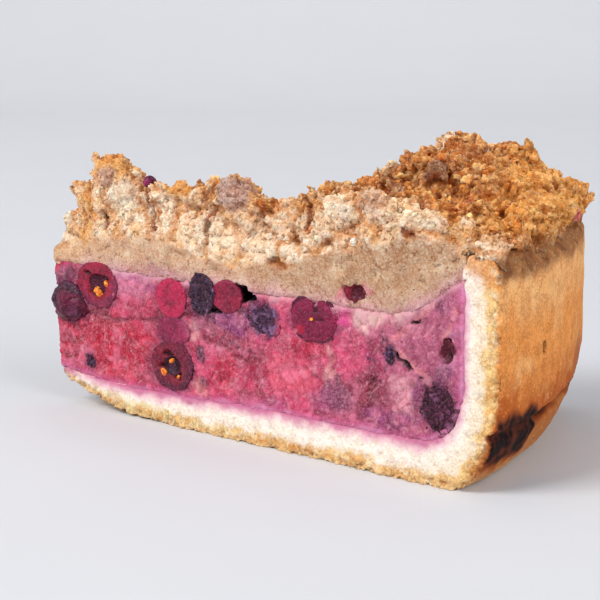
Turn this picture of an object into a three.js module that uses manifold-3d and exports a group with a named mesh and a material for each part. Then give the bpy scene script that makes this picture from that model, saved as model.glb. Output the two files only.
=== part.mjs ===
// One slice of a deep berry crumble pie, as it is cut from a round springform.
// A short pastry shell with a tall wall holds a set berry filling. A pale, dense layer of baked streusel
// lies on the filling, and loose clumps of crumble are heaped on that. Whole and halved berries show
// in both cuts, one sticks out of the point of the slice and a small one lies in the crumble.
//
// Units are millimetres, +Z is up. The origin is under the middle of the flat base, on the slice's
// centre line, and +X runs from the point of the slice to its rim.

import * as THREE from "three";
import { mergeVertices } from "three/addons/utils/BufferGeometryUtils.js";
import Module from "manifold-3d";

const wasm = await Module();
wasm.setup();

// Driving dimensions of the pie.
const PIE_RADIUS = 130;
const SLICE_ANGLE = THREE.MathUtils.degToRad(36);
const CENTRE_X = -66;
const WALL_HEIGHT = 48.2;
const WALL_THICKNESS = 8.8;
const BASE_FLAT_RADIUS = 119;
const BASE_THICKNESS = 8.2;
const POINT_LIFT = 8;
const POINT_LIFT_REACH = 36;
const POINT_BLUNTNESS = 4;
const POINT_LEAN = THREE.MathUtils.degToRad(2.6);
const SEAM_HEIGHT = 12.6;
const SEAM_DEPTH = 1.4;
const CORNER_ROUNDING = 12;

// Heights of the layers at the point, the middle and the wall.
const FILLING_TOP = { point: 35.4, middle: 35.4, wall: 45.4 };
const STREUSEL_TOP = { point: 42.6, middle: 44.4, wall: 49.2 };
const LAYER_RIPPLE = 0.9;

// How high the crumble is heaped along the slice: in the front cut, the middle and the back cut.
const HEAP = [
  { at: 3, heights: [42, 43, 42] },
  { at: 9, heights: [55, 56, 55] },
  { at: 20, heights: [61.5, 60.5, 59] },
  { at: 33, heights: [59, 56, 55.5] },
  { at: 42, heights: [57.5, 56.5, 55.5] },
  { at: 59, heights: [60.5, 55.5, 53.5] },
  { at: 74, heights: [56.5, 57.5, 55.5] },
  { at: 89, heights: [61, 65.5, 64.5] },
  { at: 104, heights: [60.5, 69.5, 67.5] },
  { at: 117, heights: [57, 68, 64.5] },
  { at: 131, heights: [50.5, 60, 57] },
];
const CRUMBLE_REACH = 132.6;
const CLUMP_SINK = 3.6;
const CRUMBLE_SEED = 77;

// The largest clumps: along the slice, across it, how wide, and how far their tops stand up.
const LARGE_CLUMPS = [
  { at: 21, degrees: -12, width: 14, top: 63 },
  { at: 59.5, degrees: -16.5, width: 14, top: 61.8 },
  { at: 87, degrees: -14, width: 12, top: 61.5 },
  { at: 102, degrees: 8, width: 13, top: 69.6 },
  { at: 114, degrees: 3, width: 14, top: 68.5 },
  { at: 72, degrees: 9, width: 12, top: 58 },
  { at: 124, degrees: 2, width: 12, top: 63 },
];

// Meshes keep this gap, where the real layers touch.
const GAP = 0.3;
const LATHE_STEPS = 80;

// Berries: along the cut from the pie's centre, up from the plate, then width, height and depth.
// proud is how far the berry stands out of the cut, and hollow is the size of an empty middle.
const FRONT = -1;
const BACK = 1;
const BERRIES = [
  { name: "berry_halved_by_point", cut: FRONT, at: 16, up: 31.2, size: [12.6, 10.4, 9], proud: 0.5, hollow: 0.5 },
  { name: "berry_in_point", cut: FRONT, at: 5.9, up: 25.8, size: [11.8, 10.2, 10.5], whole: true, inset: 2.0 },
  { name: "berry_red_half", cut: FRONT, at: 40.4, up: 30.7, size: [9.2, 9.0, 8], proud: 0.3 },
  { name: "berry_dark_skin", cut: FRONT, at: 50, up: 33.0, size: [7.6, 9.6, 8], proud: 0.8, rough: 0.12 },
  { name: "berry_wine_half", cut: FRONT, at: 57.8, up: 33.4, size: [8.2, 7.0, 7], proud: 0.2 },
  { name: "berry_faded_half", cut: FRONT, at: 40.9, up: 23.2, size: [9.6, 6.2, 7], proud: 0.2 },
  { name: "berry_seedy_half", cut: FRONT, at: 40.4, up: 14.6, size: [13.2, 11.2, 10], proud: 0.6, hollow: 0.45 },
  { name: "berry_crushed", cut: FRONT, at: 68.4, up: 29.4, size: [9.2, 8.6, 7], proud: 0.4, rough: 0.14 },
  { name: "berry_heart_half", cut: FRONT, at: 82.6, up: 32.0, size: [12.2, 9.2, 8], proud: 0.4, lobes: 2 },
  { name: "berry_sunk_top", cut: FRONT, at: 93.2, up: 38.6, size: [6.6, 4.6, 6], proud: -1.4, rough: 0.1 },
  { name: "berry_sunk_wall", cut: FRONT, at: 117, up: 29.2, size: [3.8, 5.0, 5], proud: -1.2 },
  { name: "berry_split_small", cut: FRONT, at: 102.9, up: 26.4, size: [4.2, 5.4, 5], proud: 0.2, rough: 0.1 },
  { name: "berry_crushed_corner", cut: FRONT, at: 115.2, up: 17.0, size: [9.6, 11.8, 8], proud: 0.5, rough: 0.15 },
  { name: "berry_small_point", cut: FRONT, at: 12.8, up: 11.6, size: [4.2, 4.2, 4], proud: 0.2, rough: 0.1 },
  { name: "berry_back_wine", cut: BACK, at: 24, up: 29.5, size: [10.4, 9.6, 8], proud: 0.4 },
  { name: "berry_back_dark", cut: BACK, at: 36, up: 18.6, size: [9.6, 10.4, 8], proud: 0.8, rough: 0.12 },
  { name: "berry_back_seedy", cut: BACK, at: 52, up: 30.6, size: [12.0, 10.4, 9], proud: 0.5, hollow: 0.45 },
  { name: "berry_back_red", cut: BACK, at: 63.5, up: 17.4, size: [9.4, 8.6, 8], proud: 0.3 },
  { name: "berry_back_heart", cut: BACK, at: 76, up: 30.4, size: [11.6, 9.0, 8], proud: 0.3, lobes: 2 },
  { name: "berry_back_crushed", cut: BACK, at: 90, up: 21.4, size: [10.2, 9.4, 8], proud: 0.5, rough: 0.14 },
  { name: "berry_back_faded", cut: BACK, at: 100.5, up: 31.8, size: [9.0, 8.0, 7], proud: 0.2 },
  { name: "berry_back_corner", cut: BACK, at: 112.6, up: 17.6, size: [11.4, 10.6, 9], proud: 0.5, hollow: 0.4 },
  { name: "berry_on_crumble", cut: FRONT, at: 33, up: 58.4, size: [4.4, 5.2, 4.4], whole: true, inset: 1.2 },
];

// Colours, as they look in the cut.
const COLOURS = {
  crust: { color: 0xe3b47c, roughness: 0.75 },
  filling: { color: 0xc4577a, roughness: 0.4 },
  streusel: { color: 0xd8ad8c, roughness: 0.85 },
  crumble: { color: 0xd39a5c, roughness: 0.9 },
  berry: { color: 0x5a1a2c, roughness: 0.3 },
};

// A seeded row of random numbers from 0 to 1, the same on every run.
function randomRow(seed) {
  let state = seed >>> 0;
  return () => {
    state = (state + 0x6d2b79f5) >>> 0;
    let t = state;
    t = Math.imul(t ^ (t >>> 15), t | 1);
    t ^= t + Math.imul(t ^ (t >>> 7), t | 61);
    return ((t ^ (t >>> 14)) >>> 0) / 4294967296;
  };
}

// Smooth unevenness from -1 to 1: waves of about the given length that cross each other.
function unevenness(length, seed) {
  const random = randomRow(seed);
  const waves = Array.from({ length: 7 }, () => {
    const direction = new THREE.Vector3(random() - 0.5, random() - 0.5, random() - 0.5).normalize();
    return { direction, pull: (2 * Math.PI) / (length * (0.7 + random())), shift: random() * 2 * Math.PI };
  });
  return (x, y, z) => {
    const sum = waves.reduce((total, w) => {
      const along = w.direction.x * x + w.direction.y * y + w.direction.z * z;
      return total + Math.sin(along * w.pull + w.shift);
    }, 0);
    return sum / 3.5;
  };
}

const ripple = unevenness(26, 11);
const wallUnevenness = unevenness(17, 23);

function solidOf(geometry) {
  const bare = geometry.clone();
  bare.deleteAttribute("normal");
  bare.deleteAttribute("uv");
  const merged = mergeVertices(bare, 1e-4);
  return new wasm.Manifold(
    new wasm.Mesh({
      numProp: 3,
      vertProperties: merged.attributes.position.array,
      triVerts: new Uint32Array(merged.index.array),
    }),
  );
}

function geometryOf(solid) {
  const mesh = solid.getMesh();
  const geometry = new THREE.BufferGeometry();
  geometry.setAttribute("position", new THREE.BufferAttribute(mesh.vertProperties, 3));
  geometry.setIndex(new THREE.BufferAttribute(mesh.triVerts, 1));
  geometry.computeVertexNormals();
  return geometry;
}

// The shell of a mesh with the most faces: no loose crumbs, and no air trapped between clumps.
function largestShell(geometry) {
  const index = geometry.index.array;
  const leader = Array.from({ length: geometry.attributes.position.count }, (_, i) => i);
  const find = (i) => {
    while (leader[i] !== i) i = leader[i] = leader[leader[i]];
    return i;
  };
  for (let i = 0; i < index.length; i += 3) {
    leader[find(index[i])] = find(index[i + 1]);
    leader[find(index[i + 1])] = find(index[i + 2]);
  }
  const shells = new Map();
  for (let i = 0; i < index.length; i += 3) {
    const shell = find(index[i]);
    if (!shells.has(shell)) shells.set(shell, []);
    shells.get(shell).push(index[i], index[i + 1], index[i + 2]);
  }
  const largest = [...shells.values()].reduce((a, b) => (b.length > a.length ? b : a));
  const kept = new THREE.BufferGeometry();
  kept.setAttribute("position", geometry.attributes.position);
  kept.setIndex(largest);
  return kept.toNonIndexed();
}

function movePoints(geometry, move) {
  const position = geometry.attributes.position;
  const point = new THREE.Vector3();
  for (let i = 0; i < position.count; i++) {
    point.fromBufferAttribute(position, i);
    move(point);
    position.setXYZ(i, point.x, point.y, point.z);
  }
  return geometry;
}

// A profile of radius and height, turned about the pie's upright centre line.
function turned(profile) {
  const geometry = new THREE.LatheGeometry(profile, LATHE_STEPS);
  return geometry.rotateX(Math.PI / 2).translate(CENTRE_X, 0, 0);
}

function radiusAt(point) {
  return Math.hypot(point.x - CENTRE_X, point.y);
}

// A layer's height along the radius, as a smooth curve through its named heights.
function layerCurve(heights, lift) {
  const ends = [
    [0, heights.point],
    [45, heights.middle + 0.8],
    [80, heights.middle],
    [103, heights.middle + 0.4],
    [113, (heights.middle + heights.wall) / 2],
    [PIE_RADIUS - WALL_THICKNESS, heights.wall],
  ];
  return new THREE.SplineCurve(ends.map(([r, z]) => new THREE.Vector2(r, z + lift))).getPoints(9);
}

// The inside of the shell, from the middle of its base to the top of its wall.
// With an offset, it is the outside of what fills the shell.
function shellInside(offset) {
  const inner = PIE_RADIUS - WALL_THICKNESS - offset;
  const floor = BASE_THICKNESS + offset;
  const path = new THREE.Path();
  path.moveTo(0, floor + 1);
  path.quadraticCurveTo(20, floor - 3.4, 58, floor);
  path.lineTo(90, floor + 0.3);
  path.lineTo(inner - CORNER_ROUNDING, floor + 0.6);
  path.quadraticCurveTo(inner, floor + 0.6, inner, floor + 0.6 + CORNER_ROUNDING);
  return path.getPoints(5);
}

// The shell's outside: the lifted point, the flat base, the rounded foot, the seam and the wall.
function shellOutside() {
  const foot = PIE_RADIUS - 2.4;
  const path = new THREE.Path();
  path.moveTo(0, POINT_LIFT);
  path.quadraticCurveTo(POINT_LIFT_REACH / 2, 0, POINT_LIFT_REACH, 0);
  path.lineTo(BASE_FLAT_RADIUS, 0);
  path.quadraticCurveTo(foot - 3.4, 1, foot, SEAM_HEIGHT - 1.8);
  path.lineTo(foot - SEAM_DEPTH, SEAM_HEIGHT);
  path.lineTo(foot + 1, SEAM_HEIGHT + 1.6);
  path.quadraticCurveTo(PIE_RADIUS - 0.4, 18, PIE_RADIUS, 25);
  path.lineTo(PIE_RADIUS, 36);
  path.lineTo(PIE_RADIUS - 0.4, WALL_HEIGHT - 1.4);
  path.lineTo(PIE_RADIUS - 2.4, WALL_HEIGHT);
  path.lineTo(PIE_RADIUS - WALL_THICKNESS + 1.2, WALL_HEIGHT);
  path.lineTo(PIE_RADIUS - WALL_THICKNESS, WALL_HEIGHT - 1.6);
  return path.getPoints(4);
}

// The slice's side of one cut. The knife leaves a slightly wavy face.
function keptBy(cut, inset, relief, seed) {
  const length = 176;
  const depth = 95;
  const height = 100;
  const wavy = unevenness(26, seed);
  const box = new THREE.BoxGeometry(length, depth, height, relief ? 10 : 1, 1, relief ? 6 : 1);
  box.translate(length / 2 - 12, 0, height / 2 - 5);
  movePoints(box, (p) => {
    const isFace = p.y * cut > 0;
    p.y = isFace ? -inset * cut + relief * wavy(p.x, 0, p.z) : -depth * cut;
  });
  box.rotateZ((cut * SLICE_ANGLE) / 2).translate(CENTRE_X, 0, 0);
  return solidOf(box);
}

// Everything inside both cuts and behind the blunt point. The point leans back towards the base.
function sliceRoom(inset, relief, bluntness, seed) {
  const ahead = new THREE.BoxGeometry(220, 200, 140).translate(110, 0, 70);
  ahead.rotateY(-POINT_LEAN).translate(CENTRE_X + bluntness, 0, -10);
  return keptBy(FRONT, inset, relief, seed).intersect(keptBy(BACK, inset, relief, seed + 1)).intersect(solidOf(ahead));
}

function crustSolid() {
  const outline = [...shellOutside(), ...shellInside(0).reverse()];
  outline.push(outline[0].clone());
  const body = movePoints(turned(outline), (p) => {
    const onWall = p.z > SEAM_HEIGHT + 1 && p.z < WALL_HEIGHT - 1 && radiusAt(p) > PIE_RADIUS - 3;
    if (!onWall) return;
    const push = 1 + (0.35 * wallUnevenness(p.x, p.y, p.z)) / PIE_RADIUS;
    p.x = CENTRE_X + (p.x - CENTRE_X) * push;
    p.y *= push;
  });
  return solidOf(body).intersect(sliceRoom(0, 0.35, POINT_BLUNTNESS, 31));
}

// The ripple between two layers moves both of their meeting faces alike.
function rippled(geometry, isMoved) {
  return movePoints(geometry, (p) => {
    if (isMoved(p)) p.z += LAYER_RIPPLE * ripple(p.x, p.y, 0);
  });
}

function fillingSolid() {
  const bottom = shellInside(GAP);
  const top = layerCurve(FILLING_TOP, 0);
  top[top.length - 1].x -= GAP;
  const body = turned([...bottom, ...top.reverse()]);
  const isTop = (p) => p.z > 30;
  return solidOf(rippled(body, isTop)).intersect(sliceRoom(0.1, 0.3, POINT_BLUNTNESS - 0.2, 41));
}

function streuselSolid() {
  const bottom = layerCurve(FILLING_TOP, GAP);
  const top = layerCurve(STREUSEL_TOP, 0);
  bottom[bottom.length - 1].x -= GAP;
  top[top.length - 1].x -= GAP;
  const isBottom = (p) => {
    const share = THREE.MathUtils.clamp(radiusAt(p) / (PIE_RADIUS - WALL_THICKNESS), 0, 1);
    return p.z < THREE.MathUtils.lerp(40, 47, share ** 3);
  };
  const body = rippled(turned([...bottom, ...top.reverse()]), isBottom);
  return solidOf(body).intersect(sliceRoom(-0.1, 0.4, POINT_BLUNTNESS - 0.3, 51));
}

// Height of the heaped crumble over a place on the slice.
function heapHeight(x, y) {
  const r = THREE.MathUtils.clamp(Math.hypot(x - CENTRE_X, y), HEAP[0].at, HEAP[HEAP.length - 1].at);
  const across = THREE.MathUtils.clamp(Math.atan2(y, x - CENTRE_X) / SLICE_ANGLE, -0.5, 0.5);
  const next = HEAP.findIndex((station, i) => i > 0 && r <= station.at);
  const [near, far] = [HEAP[next - 1], HEAP[next]];
  const share = THREE.MathUtils.smoothstep(r, near.at, far.at);
  const [front, middle, back] = near.heights.map((h, i) => THREE.MathUtils.lerp(h, far.heights[i], share));
  const sideShare = THREE.MathUtils.smoothstep(Math.abs(across) * 2, 0, 1);
  return THREE.MathUtils.lerp(middle, across < 0 ? front : back, sideShare);
}

// Rough core of the heap, under the clumps that show.
function heapCore() {
  const reach = CRUMBLE_REACH - 3;
  const profile = [[0, 41], [30, 44], [60, 44], [90, 44], [112, 46], [reach, 48], [reach, 54]];
  for (let r = reach - 7; r > 1; r -= 10) profile.push([r, 56]);
  profile.push([0, 56]);
  const body = turned(profile.map(([r, z]) => new THREE.Vector2(r, z)));
  movePoints(body, (p) => {
    if (p.z > 50) p.z = Math.max(heapHeight(p.x, p.y) - CLUMP_SINK, 43);
  });
  return solidOf(body).intersect(sliceRoom(1.4, 0, 7, 0));
}

// How many sides a clump has: few where it is cut off, more where it stands out of the heap.
const SHAPES = {
  cut: (radius) => new THREE.IcosahedronGeometry(radius, 0),
  loose: (radius) => new THREE.DodecahedronGeometry(radius, 0),
  large: (radius) => new THREE.IcosahedronGeometry(radius, 1),
};

// One clump: an uneven rounded lump of dough.
function clump(random, x, y, z, width, shape) {
  const geometry = SHAPES[shape](width / 2);
  geometry.deleteAttribute("normal");
  geometry.deleteAttribute("uv");
  const lump = mergeVertices(geometry, 1e-4);
  movePoints(lump, (p) => p.multiplyScalar(0.9 + 0.2 * random()));
  lump.scale(0.85 + 0.35 * random(), 0.85 + 0.35 * random(), 0.75 + 0.3 * random());
  lump.rotateX(random() * Math.PI).rotateY(random() * Math.PI).rotateZ(random() * Math.PI);
  lump.translate(x, y, z);
  return solidOf(lump);
}

function placeAt(r, angle) {
  return [CENTRE_X + r * Math.cos(angle), r * Math.sin(angle)];
}

// Clumps over the top of the heap, on rings about the pie's centre.
function topClumps(random) {
  const spacing = 10.8;
  const clumps = [];
  for (let ring = 7; ring < CRUMBLE_REACH; ring += spacing) {
    const count = Math.max(1, Math.round((ring * SLICE_ANGLE) / spacing));
    for (let i = 0; i < count; i++) {
      const angle = SLICE_ANGLE * ((i + 0.25 + 0.5 * random()) / count - 0.5);
      const width = 8 + 5.5 * random() ** 1.6;
      const r = Math.min(ring + (random() - 0.5) * 4, CRUMBLE_REACH - width * 0.45);
      const [x, y] = placeAt(r, angle);
      clumps.push(clump(random, x, y, heapHeight(x, y) - width * (0.44 + 0.12 * random()), width, "loose"));
    }
  }
  return clumps;
}

// Clumps in the two cuts, each broken off at its own depth.
function cutClumps(random) {
  const clumps = [];
  for (const cut of [FRONT, BACK]) {
    for (let along = 7; along < CRUMBLE_REACH - 3; along += 9.4) {
      const [edgeX, edgeY] = placeAt(along, (cut * SLICE_ANGLE) / 2);
      const rows = Math.max(1, Math.round((heapHeight(edgeX, edgeY) - 48) / 6.4));
      for (let row = 0; row < rows; row++) {
        const width = 9 + 3.4 * random();
        const inward = 2 + 1.6 * random();
        const [x, y] = placeAt(along + (random() - 0.5) * 4, (cut * SLICE_ANGLE) / 2);
        const z = heapHeight(x, y) - width * 0.45 - row * 6.4;
        const lump = clump(random, x, y - cut * inward, Math.max(z, 46), width * 1.08, "cut");
        clumps.push(lump.intersect(keptBy(cut, -0.6 + 1.6 * random(), 0, 0)));
      }
    }
  }
  return clumps;
}

function largeClumps(random) {
  return LARGE_CLUMPS.map((c) => {
    const [x, y] = placeAt(c.at, THREE.MathUtils.degToRad(c.degrees));
    return clump(random, x, y, c.top - c.width * 0.47, c.width, "large");
  });
}

function crumbleSolid() {
  const random = randomRow(CRUMBLE_SEED);
  const all = [...topClumps(random), ...cutClumps(random), ...largeClumps(random)];
  const heap = all.reduce((sum, lump) => sum.add(lump), heapCore());
  const under = layerCurve(STREUSEL_TOP, GAP);
  const seat = [
    ...under,
    new THREE.Vector2(PIE_RADIUS - WALL_THICKNESS + 0.6, STREUSEL_TOP.wall + GAP),
    new THREE.Vector2(CRUMBLE_REACH + 12, WALL_HEIGHT + GAP + 0.2),
    new THREE.Vector2(CRUMBLE_REACH + 12, 90),
    new THREE.Vector2(0, 90),
  ];
  const heaped = heap.intersect(solidOf(turned(seat))).intersect(sliceRoom(-0.6, 0, POINT_BLUNTNESS, 0));
  return solidOf(largestShell(geometryOf(heaped)));
}

// The outside of a berry, grown by a margin for the pocket it sits in.
function berryBody(berry, margin) {
  const random = randomRow(Math.round(berry.at * 10 + berry.up));
  const [width, height, depth] = berry.size;
  const lobes = berry.lobes ?? 1;
  const lobeShift = lobes > 1 ? width * 0.19 : 0;
  const makeLobe = (side) => {
    const ball = new THREE.SphereGeometry(1, 8, 6).rotateX(Math.PI / 2);
    ball.deleteAttribute("normal");
    ball.deleteAttribute("uv");
    const lobe = mergeVertices(ball, 1e-4);
    movePoints(lobe, (p) => p.multiplyScalar(1 - (berry.rough ?? 0) * random()));
    lobe.scale(width / 2 - lobeShift + margin, depth / 2 + margin, height / 2 + margin);
    return solidOf(lobe.translate(side * lobeShift, 0, 0).rotateY(side * 0.35 * (lobes - 1)));
  };
  const body = lobes > 1 ? makeLobe(-1).add(makeLobe(1)) : makeLobe(0);
  const inset = berry.inset ?? 0;
  const turn = THREE.MathUtils.radToDeg((berry.cut * SLICE_ANGLE) / 2);
  const [x, y] = placeAt(berry.at, (berry.cut * SLICE_ANGLE) / 2);
  const inward = new THREE.Vector2(0, -berry.cut * inset).rotateAround(
    new THREE.Vector2(),
    THREE.MathUtils.degToRad(turn),
  );
  return body.rotate([0, 0, turn]).translate([x + inward.x, y + inward.y, berry.up]);
}

// A berry as the knife left it: whole, or halved and sometimes with its empty middle showing.
function berrySolid(berry) {
  const body = berryBody(berry, 0);
  if (berry.whole) return body;
  const halved = body.intersect(keptBy(berry.cut, -berry.proud, 0, 0));
  if (!berry.hollow) return halved;
  const size = berry.size.map((length) => length * berry.hollow);
  return halved.subtract(berryBody({ ...berry, size, inset: -berry.proud }, 0));
}

function mesh(name, solid, look) {
  const material = new THREE.MeshStandardMaterial({ ...COLOURS[look], metalness: 0 });
  const made = new THREE.Mesh(geometryOf(solid), material);
  made.name = name;
  return made;
}

const pockets = BERRIES.map((berry) => berryBody(berry, GAP)).reduce((sum, pocket) => sum.add(pocket));

const slice = new THREE.Group();
slice.name = "berry_crumble_pie_slice";
slice.add(mesh("crust", crustSolid().subtract(pockets), "crust"));
slice.add(mesh("berry_filling", fillingSolid().subtract(pockets), "filling"));
slice.add(mesh("baked_streusel_layer", streuselSolid().subtract(pockets), "streusel"));
slice.add(mesh("crumble_topping", crumbleSolid().subtract(pockets), "crumble"));
for (const berry of BERRIES) {
  slice.add(mesh(berry.name, berrySolid(berry), "berry"));
}

export default slice;
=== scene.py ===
# %% [markdown]
# # A slice of berry crumble pie
# The real slice has four layers: short pastry below and behind, a set berry filling, a dense layer of
# baked streusel, and loose crumble heaped on top. Halved berries show where the knife went through.
# The plain, faceted solids of these layers are loaded first. Every layer is then made again with fine,
# broken surfaces in about the same form. The heap of crumble departs from its plain solid the most. The
# layers' forms come from the solids; the spots, cracks and crags on them are listed one by one.

# %% Start from the plain slice
import math

import bpy
import numpy as np
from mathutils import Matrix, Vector


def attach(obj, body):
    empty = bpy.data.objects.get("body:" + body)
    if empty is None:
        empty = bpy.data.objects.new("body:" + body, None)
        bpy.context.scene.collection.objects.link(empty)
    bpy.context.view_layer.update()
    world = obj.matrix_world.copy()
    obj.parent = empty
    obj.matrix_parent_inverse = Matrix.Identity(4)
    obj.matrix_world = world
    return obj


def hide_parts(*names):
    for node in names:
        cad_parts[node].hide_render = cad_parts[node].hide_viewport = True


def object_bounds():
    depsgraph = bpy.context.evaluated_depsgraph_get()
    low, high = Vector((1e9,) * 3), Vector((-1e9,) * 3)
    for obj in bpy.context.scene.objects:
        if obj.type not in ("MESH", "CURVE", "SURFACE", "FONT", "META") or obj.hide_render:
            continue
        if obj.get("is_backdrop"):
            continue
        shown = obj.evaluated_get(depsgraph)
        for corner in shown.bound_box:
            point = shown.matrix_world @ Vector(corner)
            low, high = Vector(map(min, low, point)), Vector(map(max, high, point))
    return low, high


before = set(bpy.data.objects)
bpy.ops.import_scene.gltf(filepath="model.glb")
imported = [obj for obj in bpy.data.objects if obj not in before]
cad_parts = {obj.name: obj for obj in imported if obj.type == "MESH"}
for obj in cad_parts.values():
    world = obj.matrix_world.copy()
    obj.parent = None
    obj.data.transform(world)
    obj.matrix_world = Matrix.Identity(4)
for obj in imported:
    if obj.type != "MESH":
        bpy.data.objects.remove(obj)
cad_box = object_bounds()
print("plain solids:", len(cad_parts))

# %% [markdown]
# ## Where a point lies in the pie
# A baker thinks of a pie as round, and of a slice as two cuts. So each point gets its distance from the
# pie's centre, and for both cuts its place along the cut and its depth behind it. All later cells use
# these places, in millimetres, which makes their numbers easy to compare with a real slice.

# %% Places in the slice
MM = 0.001
PIE_CENTRE_X = -66
PIE_RADIUS = 130
HALF_ANGLE = math.radians(18)
WALL_INSIDE = 121.2
FRONT, BACK = -1, 1


class Places:
    """Places of many points in the pie, in millimetres."""

    def __init__(self, points):
        x, y = points[:, 0] - PIE_CENTRE_X, points[:, 1]
        self.up = points[:, 2]
        self.radius = np.hypot(x, y)
        self.angle = np.degrees(np.arctan2(y, x))
        self.along, self.depth = {}, {}
        for cut in (FRONT, BACK):
            self.along[cut] = x * math.cos(HALF_ANGLE) + y * cut * math.sin(HALF_ANGLE)
            self.depth[cut] = x * math.sin(HALF_ANGLE) - y * cut * math.cos(HALF_ANGLE)
        self.near_depth = np.minimum(self.depth[FRONT], self.depth[BACK])
        self.is_front = self.depth[FRONT] < self.depth[BACK]
        self.near_along = np.where(self.is_front, self.along[FRONT], self.along[BACK])
        self.way_out = np.where(self.is_front[:, None], outward(FRONT), outward(BACK))


def outward(cut):
    """The direction that points out of a cut."""
    return np.array([-math.sin(HALF_ANGLE), cut * math.cos(HALF_ANGLE), 0])


def ease(value, low, high):
    """0 below low, 1 above high, and a smooth rise between them."""
    share = np.clip((value - low) / (high - low), 0, 1)
    return share * share * (3 - 2 * share)


# %% Lines between the layers
TIP_LIFT, LIFTED_TO = 8, 36


def underside(radius):
    """Height of the baked underside. It lifts towards the point of the slice."""
    return TIP_LIFT * np.clip(1 - radius / LIFTED_TO, 0, 1) ** 2


def filling_floor(radius):
    """Height of the line between the pastry and the filling."""
    stations = [0, 10, 20, 30, 45, 60, 90, 108, 113, 117, 120, 121.2]
    return np.interp(radius, stations, [9, 8, 7.1, 6.9, 7.4, 8.4, 8.7, 9, 9.6, 12, 17, 20])


def filling_top(radius):
    """Height of the line between the filling and the streusel."""
    stations = [0, 80, 98, 103, 108, 113, 117, 121.2]
    return np.interp(radius, stations, [35.4, 35.4, 35.1, 35.4, 36.5, 39.1, 42.3, 45])


def streusel_top(radius):
    """Height of the line between the streusel and the crumble."""
    stations = [3, 10, 30, 45, 75, 90, 103, 108, 113, 117, 121.2]
    return np.interp(radius, stations, [43, 43.4, 44.8, 45.2, 44.9, 44.8, 45.1, 45.5, 46.9, 47.8, 49.2])


def crumb_line(along):
    """Height above which the dough in a cut is broken crumb. Below it, it has baked dense."""
    stations = [7, 17, 27, 42, 53, 63, 75, 84, 95, 105, 115, 122]
    return np.interp(along, stations, [41.1, 43.4, 43.7, 43.3, 40.7, 41, 43.2, 45.5, 48.8, 51.6, 52.1, 48.4])


# %% [markdown]
# ## Unevenness
# Baked food is uneven at every size. Two kinds of unevenness are enough for all of it: soft swells, and
# packed blocks that break apart, such as crumbs. They could come from Blender's texture nodes, but
# worked out on arrays of points they can move real surface, pick colours and place crumbs. All layers
# share them, so a swell runs on from one layer into the next.

# %% Swells
def scrambled(x, y, z, seed):
    """A number from 0 to 1 for each corner of an endless grid, the same on every run."""
    mixed = (x * 73856093) ^ (y * 19349663) ^ (z * 83492791) ^ (seed * 40503)
    mixed = (mixed & 0xFFFFFFFF) * 1274126177 & 0xFFFFFFFF
    mixed = (mixed ^ (mixed >> 15)) * 2246822519 & 0xFFFFFFFF
    mixed = (mixed ^ (mixed >> 13)) & 0xFFFFFFFF
    return mixed / 0xFFFFFFFF


def swell(points, size, seed):
    """Soft unevenness from -1 to 1, with bumps of about the given size."""
    grid = points / size + 0.37
    corner = np.floor(grid).astype(np.int64)
    share = grid - corner
    share = share * share * (3 - 2 * share)
    total = np.zeros(len(points))
    for dx in (0, 1):
        for dy in (0, 1):
            for dz in (0, 1):
                weight = np.abs(1 - dx - share[:, 0]) * np.abs(1 - dy - share[:, 1])
                weight = weight * np.abs(1 - dz - share[:, 2])
                total += weight * scrambled(corner[:, 0] + dx, corner[:, 1] + dy, corner[:, 2] + dz, seed)
    return total * 2 - 1


def rough(points, size, seed, octaves=3):
    """Swells with ever smaller swells on them."""
    total, strength = np.zeros(len(points)), 1.0
    for octave in range(octaves):
        total += strength * swell(points, size / 2 ** octave, seed + octave)
        strength *= 0.55
    return total


def stirred(points, amount, size, seed):
    """The points pushed about by swells, so that what is drawn on them looks stirred."""
    return points + amount * np.stack([swell(points, size, seed + 31 * k) for k in range(3)], 1)


# %% Blocks
class Blocks:
    """A mass broken into blocks of about one size, seen from many points in it."""

    def __init__(self, points, size, seed):
        grid = points / size
        cell = np.floor(grid).astype(np.int64)
        nearest, second = np.full(len(points), 9.0), np.full(len(points), 9.0)
        owner, middle = np.zeros((len(points), 3), np.int64), np.zeros((len(points), 3))
        steps = [(x, y, z) for x in (-1, 0, 1) for y in (-1, 0, 1) for z in (-1, 0, 1)]
        for step in steps:
            home = cell + step
            centre = home + np.stack([scrambled(*home.T, seed + k) for k in range(3)], 1)
            away = np.linalg.norm(grid - centre, axis=1)
            closer = away < nearest
            second = np.where(closer, nearest, np.minimum(second, away))
            nearest = np.where(closer, away, nearest)
            owner[closer], middle[closer] = home[closer], centre[closer]
        slant = np.stack([scrambled(*owner.T, seed + 11 + k) for k in range(3)], 1) * 2 - 1
        self.number = scrambled(*owner.T, seed + 7)
        self.dome = 1 - (nearest / 0.75) ** 2
        self.crack = ease(second - nearest, 0.22, 0.0)
        self.face = ((grid - middle) * slant).sum(1)


# %% [markdown]
# ## Fine copies of the plain solids
# Each layer starts as a copy of its plain solid, rebuilt by Blender's voxel remesh into small, even
# faces. A subdivision would keep the long thin faces that cuts leave, and even faces are what fine
# relief needs. The copy is then handled as plain arrays of points, which is quick and gives the same
# result on every run.

# %% Copy, remesh, read and write
FACE_SIZES = {
    "shell": 0.55,
    "filling": 0.5,
    "streusel": 0.55,
    "heap": 0.5,
    "grained heap": 0.53,
    "berry": 0.3,
    "small berry": 0.22,
}


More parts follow.
